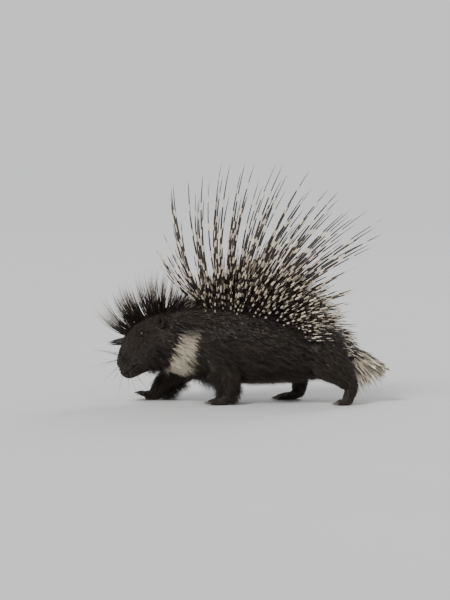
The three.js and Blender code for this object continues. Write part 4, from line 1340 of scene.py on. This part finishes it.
for side in (-1, 1):
    lockPatches += [
        {"seed": 51, "stations": [at["cheeks"] + 0.3, at["nape"] - 0.1], "rows": 2, "middle": side * 116,
         "spread": 22, "across": 2, "pitch": -24, "length": 34},
        {"seed": 53, "stations": [at["nape"] + 0.75, at["withers"] - 0.3], "rows": 2, "middle": side * 104,
         "spread": 44, "across": 4, "pitch": -26, "length": 46},
        {"seed": 55, "stations": [at["withers"] + 0.5, at["hips"] + 0.5], "rows": 5, "middle": side * 96,
         "spread": 32, "across": 3, "pitch": [-26, -16], "length": [52, 60]},
    ]
# Fringes at the legs' edges, as in the solids: how many locks, where they start and end along the leg, the
# edge they grow from as shares of the half thickness back and down, their pitch and their length.
fringePlan = {
    "frontLeft": [(5, 0.5, 0.8, 0.8, 0.3, -62, 20), (5, 0.3, 0.62, -0.78, 0.1, -122, 42)],
    "frontRight": [(6, 0.5, 0.8, 0.8, 0.3, -48, 42), (4, 0.45, 0.62, -0.74, -0.3, -122, 32)],
}


def fringePlans():
    rows = []
    for name, fringes in fringePlan.items():
        leg = legTable[name]
        line = np.array([(x, thick, z) for x, z, thick, _ in leg["path"]], float)
        for count, start, end, edge, drop, pitch, reach in fringes:
            for lock in range(count * 6):
                share = start + (end - start) * lock / (count * 6 - 1)
                x, thick, z = curveThrough(line, share * (len(line) - 1))
                half = thick - flatDepth
                y = leg["side"] * (leg["set"] + (7 if lock % 2 else -7))
                rows.append({
                    "root": np.array([x + half * edge, y, z - half * drop]), "aim": heading(pitch),
                    "length": reach, "bend": np.array([0, 0, -4.0]), "wide": 0.6, "thick": 0.4,
                    "place": (at["withers"], leg["side"] * 120),
                })
    return plansOf(rows)


bunchPlan = {"seed": 81, "apart": 7.0, "unruly": 0.16, "shortest": 0.55, "longest": 1.04}


# Each strand becomes a loose bunch of copies of it.
def bunches(plans, copies):
    draws = np.random.RandomState(bunchPlan["seed"])
    many = {key: np.repeat(values, copies, axis=0) for key, values in plans.items()}
    count = len(many["root"])
    many["root"] = many["root"] + draws.normal(0, bunchPlan["apart"], (count, 3)) * [1, 1, 0.4]
    many["aim"] = unit(many["aim"] + draws.normal(0, bunchPlan["unruly"], (count, 3)))
    shorter = draws.uniform(bunchPlan["shortest"], bunchPlan["longest"], count)
    many["length"] = many["length"] * shorter
    many["bend"] = many["bend"] * shorter[:, None]
    many["wide"], many["thick"] = draws.uniform(0.7, 1.15, count), np.full(count, 0.45)
    many["tone"] = draws.rand(count)
    many["pale"] = np.clip(collar(many["place"][:, 0], many["place"][:, 1]) * 1.1, 0, 1)
    return many


lockPlans = joinPlans(*(denser({**lockFinish, **patch}, seed=patch["seed"] + 300, rows=2.4, across=2.2)
                        for patch in lockPatches))
for name, plans, copies in (("bodyLocks", lockPlans, 16), ("legLocks", fringePlans(), 30)):
    growStrands(name, giveUnwrap(bunches(plans, copies)), "bristles", coarse, rings=4, **hairForm)
print("coat grown")

# Whiskers, claws, ears and eyes.

# Pitch and length of the whiskers on each side. Beside each grow two finer ones, as copies says: how far
# along to the next, then what is added to station, pitch and lean, and the shares of length and thickness.
whiskerPlan = {
    "station": at["muzzle"] + 0.35, "angles": [82, 112], "half": 0.82, "lean": 34, "sunk": 4,
    "bend": np.array([4.0, 0, -10.0]),
    -1: [(160, 122), (186, 128), (216, 112), (252, 104), (290, 108), (316, 118)],
    1: [(172, 128), (200, 116), (234, 104), (270, 106), (304, 112), (328, 110)],
    "copies": [(0, 0, 0, 0, 1, 1), (0.33, 0.35, 9, 8, 0.74, 0.6), (0.66, -0.3, -7, -6, 0.58, 0.55)],
}


def whiskerPlans():
    draws = np.random.RandomState(71)
    rows = []
    for side in (-1, 1):
        table = whiskerPlan[side]
        for index, (pitch, reach) in enumerate(table):
            for onward, ahead, higher, wider, shorter, thinner in whiskerPlan["copies"]:
                t = min(index + onward, len(table) - 1) / (len(table) - 1)
                place, spot = whiskerPlan["station"] + ahead, side * along(whiskerPlan["angles"], t)
                rows.append({
                    "root": skinPoint(place, spot) - skinNormal(place, spot) * whiskerPlan["sunk"],
                    "aim": heading(pitch + higher, side * (whiskerPlan["lean"] + wider)),
                    "length": (reach + rootDepth) * shorter, "bend": whiskerPlan["bend"] * shorter,
                    "wide": whiskerPlan["half"] * thinner, "thick": whiskerPlan["half"] * thinner,
                    "place": (place, spot), "tone": draws.rand(),
                })
    return giveCells(plansOf(rows))


growStrands("whiskers", whiskerPlans(), "bristles", whiskerHair,
            sides=5, rings=14, rootWidth=1.0, widestAt=0.1)


# A claw leaves its toe at the share from, and drops more where the foot is raised on its toes.
clawPlan = {"length": 21.0, "from": 0.84, "raise": 0.8, "wide": 2.4, "thick": 3.45, "drop": 3.6,
            "raisedDrop": 7.0}


def clawPlans():
    rows = []
    for leg in legTable.values():
        drop = clawPlan["raisedDrop" if leg["toePitch"] > 0 else "drop"]
        for root, aim, reach in toeLines(leg):
            start = root + aim * reach * clawPlan["from"]
            start[2] += clawPlan["raise"]
            rows.append({
                "root": start, "aim": aim, "length": clawPlan["length"], "bend": np.array([0, 0, -drop]),
                "wide": clawPlan["wide"], "thick": clawPlan["thick"], "place": (start[0], start[1]),
            })
    return giveCells(plansOf(rows))


growStrands("claws", clawPlans(), "claws", horn, sides=12, rings=12, rootWidth=1.0, widestAt=0.12, taper=0.75)


# The ear: a small cup, broader above, its rim rolled in at the top and back, notched low at the front, with
# a ridge and a deep hollow inside. r runs from the middle to the rim, turn round it.
def earForm(r, turn):
    broad = (1 + 0.24 * np.sin(turn)) * (1 - 0.24 * smoothStep(-np.cos(turn), 0.2, 1.0))
    notch = 1 - 0.3 * bell(np.angle(np.exp(1j * (turn - math.pi * 1.3))), 0.45)
    behind = 0.5 + 0.5 * np.cos(turn - 0.75)  # 1 at the top of the back edge
    x = earPlan["width"] / 2 * r * np.cos(turn) * broad * notch
    z = earPlan["height"] / 2 * r * np.sin(turn) * notch
    cup = -earPlan["deep"] / 2 * (1 - r**2.6) ** 0.6
    standing = 7.5 * behind * r**1.5 - 3.0 * (1 - behind) * r**2
    roll = -3.2 * behind * bell(r - 1.0, 0.09) + 2.2 * behind * bell(r - 0.88, 0.06)
    ridge = 3.6 * bell(r - 0.64 + 0.12 * np.sin(turn), 0.08) * smoothStep(behind, 0.3, 0.9)
    knob = 4.2 * bell(np.hypot(x + 6.0, z + 7.5), 3.2)
    hollow = -4.6 * bell(np.hypot(x + 1.0, z + 2.5), 5.0)
    return x, cup + standing + roll + ridge + knob + hollow, z


# Turned about x, then y, then z, each about the turned axes.
def turnMatrix(x, y, z):
    (cx, sx), (cy, sy), (cz, sz) = ((math.cos(math.radians(t)), math.sin(math.radians(t))) for t in (x, y, z))
    aboutX = np.array([[1, 0, 0], [0, cx, -sx], [0, sx, cx]])
    aboutY = np.array([[cy, 0, sy], [0, 1, 0], [-sy, 0, cy]])
    aboutZ = np.array([[cz, -sz, 0], [sz, cz, 0], [0, 0, 1]])
    return aboutX @ aboutY @ aboutZ


def earTurn(side):
    x, y, z = earPlan["turn"]
    return turnMatrix(-side * x, y, side * z).T


def earMesh(name, side):
    rings, sides = 18, 56
    x, y, z = earForm(np.linspace(0.04, 1, rings)[:, None], (np.arange(sides) * 2 * math.pi / sides)[None, :])
    points = np.stack([x, side * y, z], axis=-1).reshape(-1, 3)
    points = np.vstack([points, points[:sides].mean(axis=0)])
    faces = []
    for ring in range(rings - 1):
        for k in range(sides):
            a, b = ring * sides + k, ring * sides + (k + 1) % sides
            faces.append((a, a + sides, b + sides, b))
    faces += [(rings * sides, k, (k + 1) % sides) for k in range(sides)]
    mesh = meshOf(name, [(toFrame(points @ earTurn(side) + earCentre(side)), faces)])
    mesh = applied(mesh, ("SOLIDIFY", {"thickness": earPlan["wall"] / 1000, "offset": 0.0}),
                   ("SUBSURF", {"levels": 1, "render_levels": 1}))
    mesh.name = name
    dress(mesh, hide)
    storeVectors(mesh, "marks", np.tile([1.0, 0.0, 0.3], (len(mesh.vertices), 1)))
    return mesh


# Short bristles over the back of each ear and along its rim, and a few that lie across the opening.
def earHairPlans():
    draws = np.random.RandomState(91)
    rows = []
    for side in (-1, 1):
        for index in range(earPlan["hairs"]):
            turn = draws.uniform(0, 2 * math.pi)
            inside = index % 6 == 0
            r = draws.uniform(0.86, 1.0) if index % 2 else draws.uniform(0.35, 1.0)
            radial = np.array([math.cos(turn), 0, math.sin(turn)])
            x, y, z = (float(value) for value in earForm(np.float64(r), np.float64(turn)))
            root = np.array([x, side * (y + (0.6 if inside else -1.0)), z])
            out = np.array([0, side * (0.55 if inside else -0.3), 0]) + radial * (-0.7 if inside else 0.9)
            aim = unit(out + draws.normal(0, 0.22, 3) + [0.25, 0, 0.1])
            rows.append({
                "root": root @ earTurn(side) + earCentre(side), "aim": aim @ earTurn(side),
                "length": draws.uniform(5, 11), "bend": np.array([1.2, 0, -0.8]), "wide": 0.4, "thick": 0.25,
                "place": (earPlan["station"], side * earPlan["angle"]), "tone": draws.rand(),
            })
    return plansOf(rows)


def eyeMesh(name, centre):
    def ball(made):
        bmesh.ops.create_uvsphere(made, u_segments=48, v_segments=32, radius=eyePlan["radius"] / 1000)
        bmesh.ops.translate(made, vec=Vector(centre), verts=made.verts)

    return edited(bpy.data.meshes.new(name), ball)


growStrands("earHair", giveUnwrap(earHairPlans()), "bristles", coarse, sides=3, rings=3, widestAt=0.3)
for name, side in (("left", -1), ("right", 1)):
    ear = addPiece(name + "Ear", earMesh(name + "Ear", side))
    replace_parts(ear, "ear_" + name)
    centre = toFrame(eyeCentre(side))
    eyeball = eyeMesh(name + "Eyeball", centre)
    dress(eyeball, eyeMaterial(name + "EyeGloss", centre))
    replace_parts(addPiece(name + "Eyeball", eyeball), "eye_" + name)
print("whiskers, claws, ears and eyes made")

# Floor, light and camera.

stagePlan = {
    "floorRadius": 60.0, "fade": (2.0, 12.0), "sky": (0.985, 0.99, 1.0), "skyStrength": 0.86,
    "lookAt": (-0.043, 0.001, 0.308), "distance": 10.0, "elevation": 4.5, "lens": 200.0,
}

ground = edited(bpy.data.meshes.new("floor"), lambda made: bmesh.ops.create_circle(
    made, cap_ends=True, segments=96, radius=stagePlan["floorRadius"]))
ground.materials.append(floorMaterial())
floor = bpy.data.objects.new("floor", ground)
scene.collection.objects.link(floor)

world = bpy.data.worlds.new("studio")
world.use_nodes = True
sky = world.node_tree.nodes["Background"].inputs
sky["Color"].default_value = (*stagePlan["sky"], 1)
sky["Strength"].default_value = stagePlan["skyStrength"]
scene.world = world

# Broad, even light from the upper left and a weaker one from behind, which the far floor gets too.
lampPlans = {
    "keyLight": {"place": (-2.4, -3.2, 4.2), "spread": 20, "power": 2.9},
    "backLight": {"place": (1.8, 3.2, 2.6), "spread": 26, "power": 1.3},
}
lampAim = Vector((0, 0, 0.3))
for name, plan in lampPlans.items():
    light = bpy.data.lights.new(name, "SUN")
    light.angle = math.radians(plan["spread"])
    light.energy = plan["power"]
    lamp = bpy.data.objects.new(name, light)
    lamp.location = plan["place"]
    lamp.rotation_euler = (lampAim - Vector(plan["place"])).to_track_quat("-Z", "Y").to_euler()
    scene.collection.objects.link(lamp)

camera = bpy.data.cameras.new("camera")
camera.lens = stagePlan["lens"]
camera.sensor_width = 36
eyeLevel = math.radians(stagePlan["elevation"])
away = Vector((0, -math.cos(eyeLevel), math.sin(eyeLevel))) * stagePlan["distance"]
viewer = bpy.data.objects.new("camera", camera)
viewer.location = Vector(stagePlan["lookAt"]) + away
viewer.rotation_euler = (-away).to_track_quat("-Z", "Y").to_euler()
scene.collection.objects.link(viewer)
scene.camera = viewer
print("floor, light and camera set")
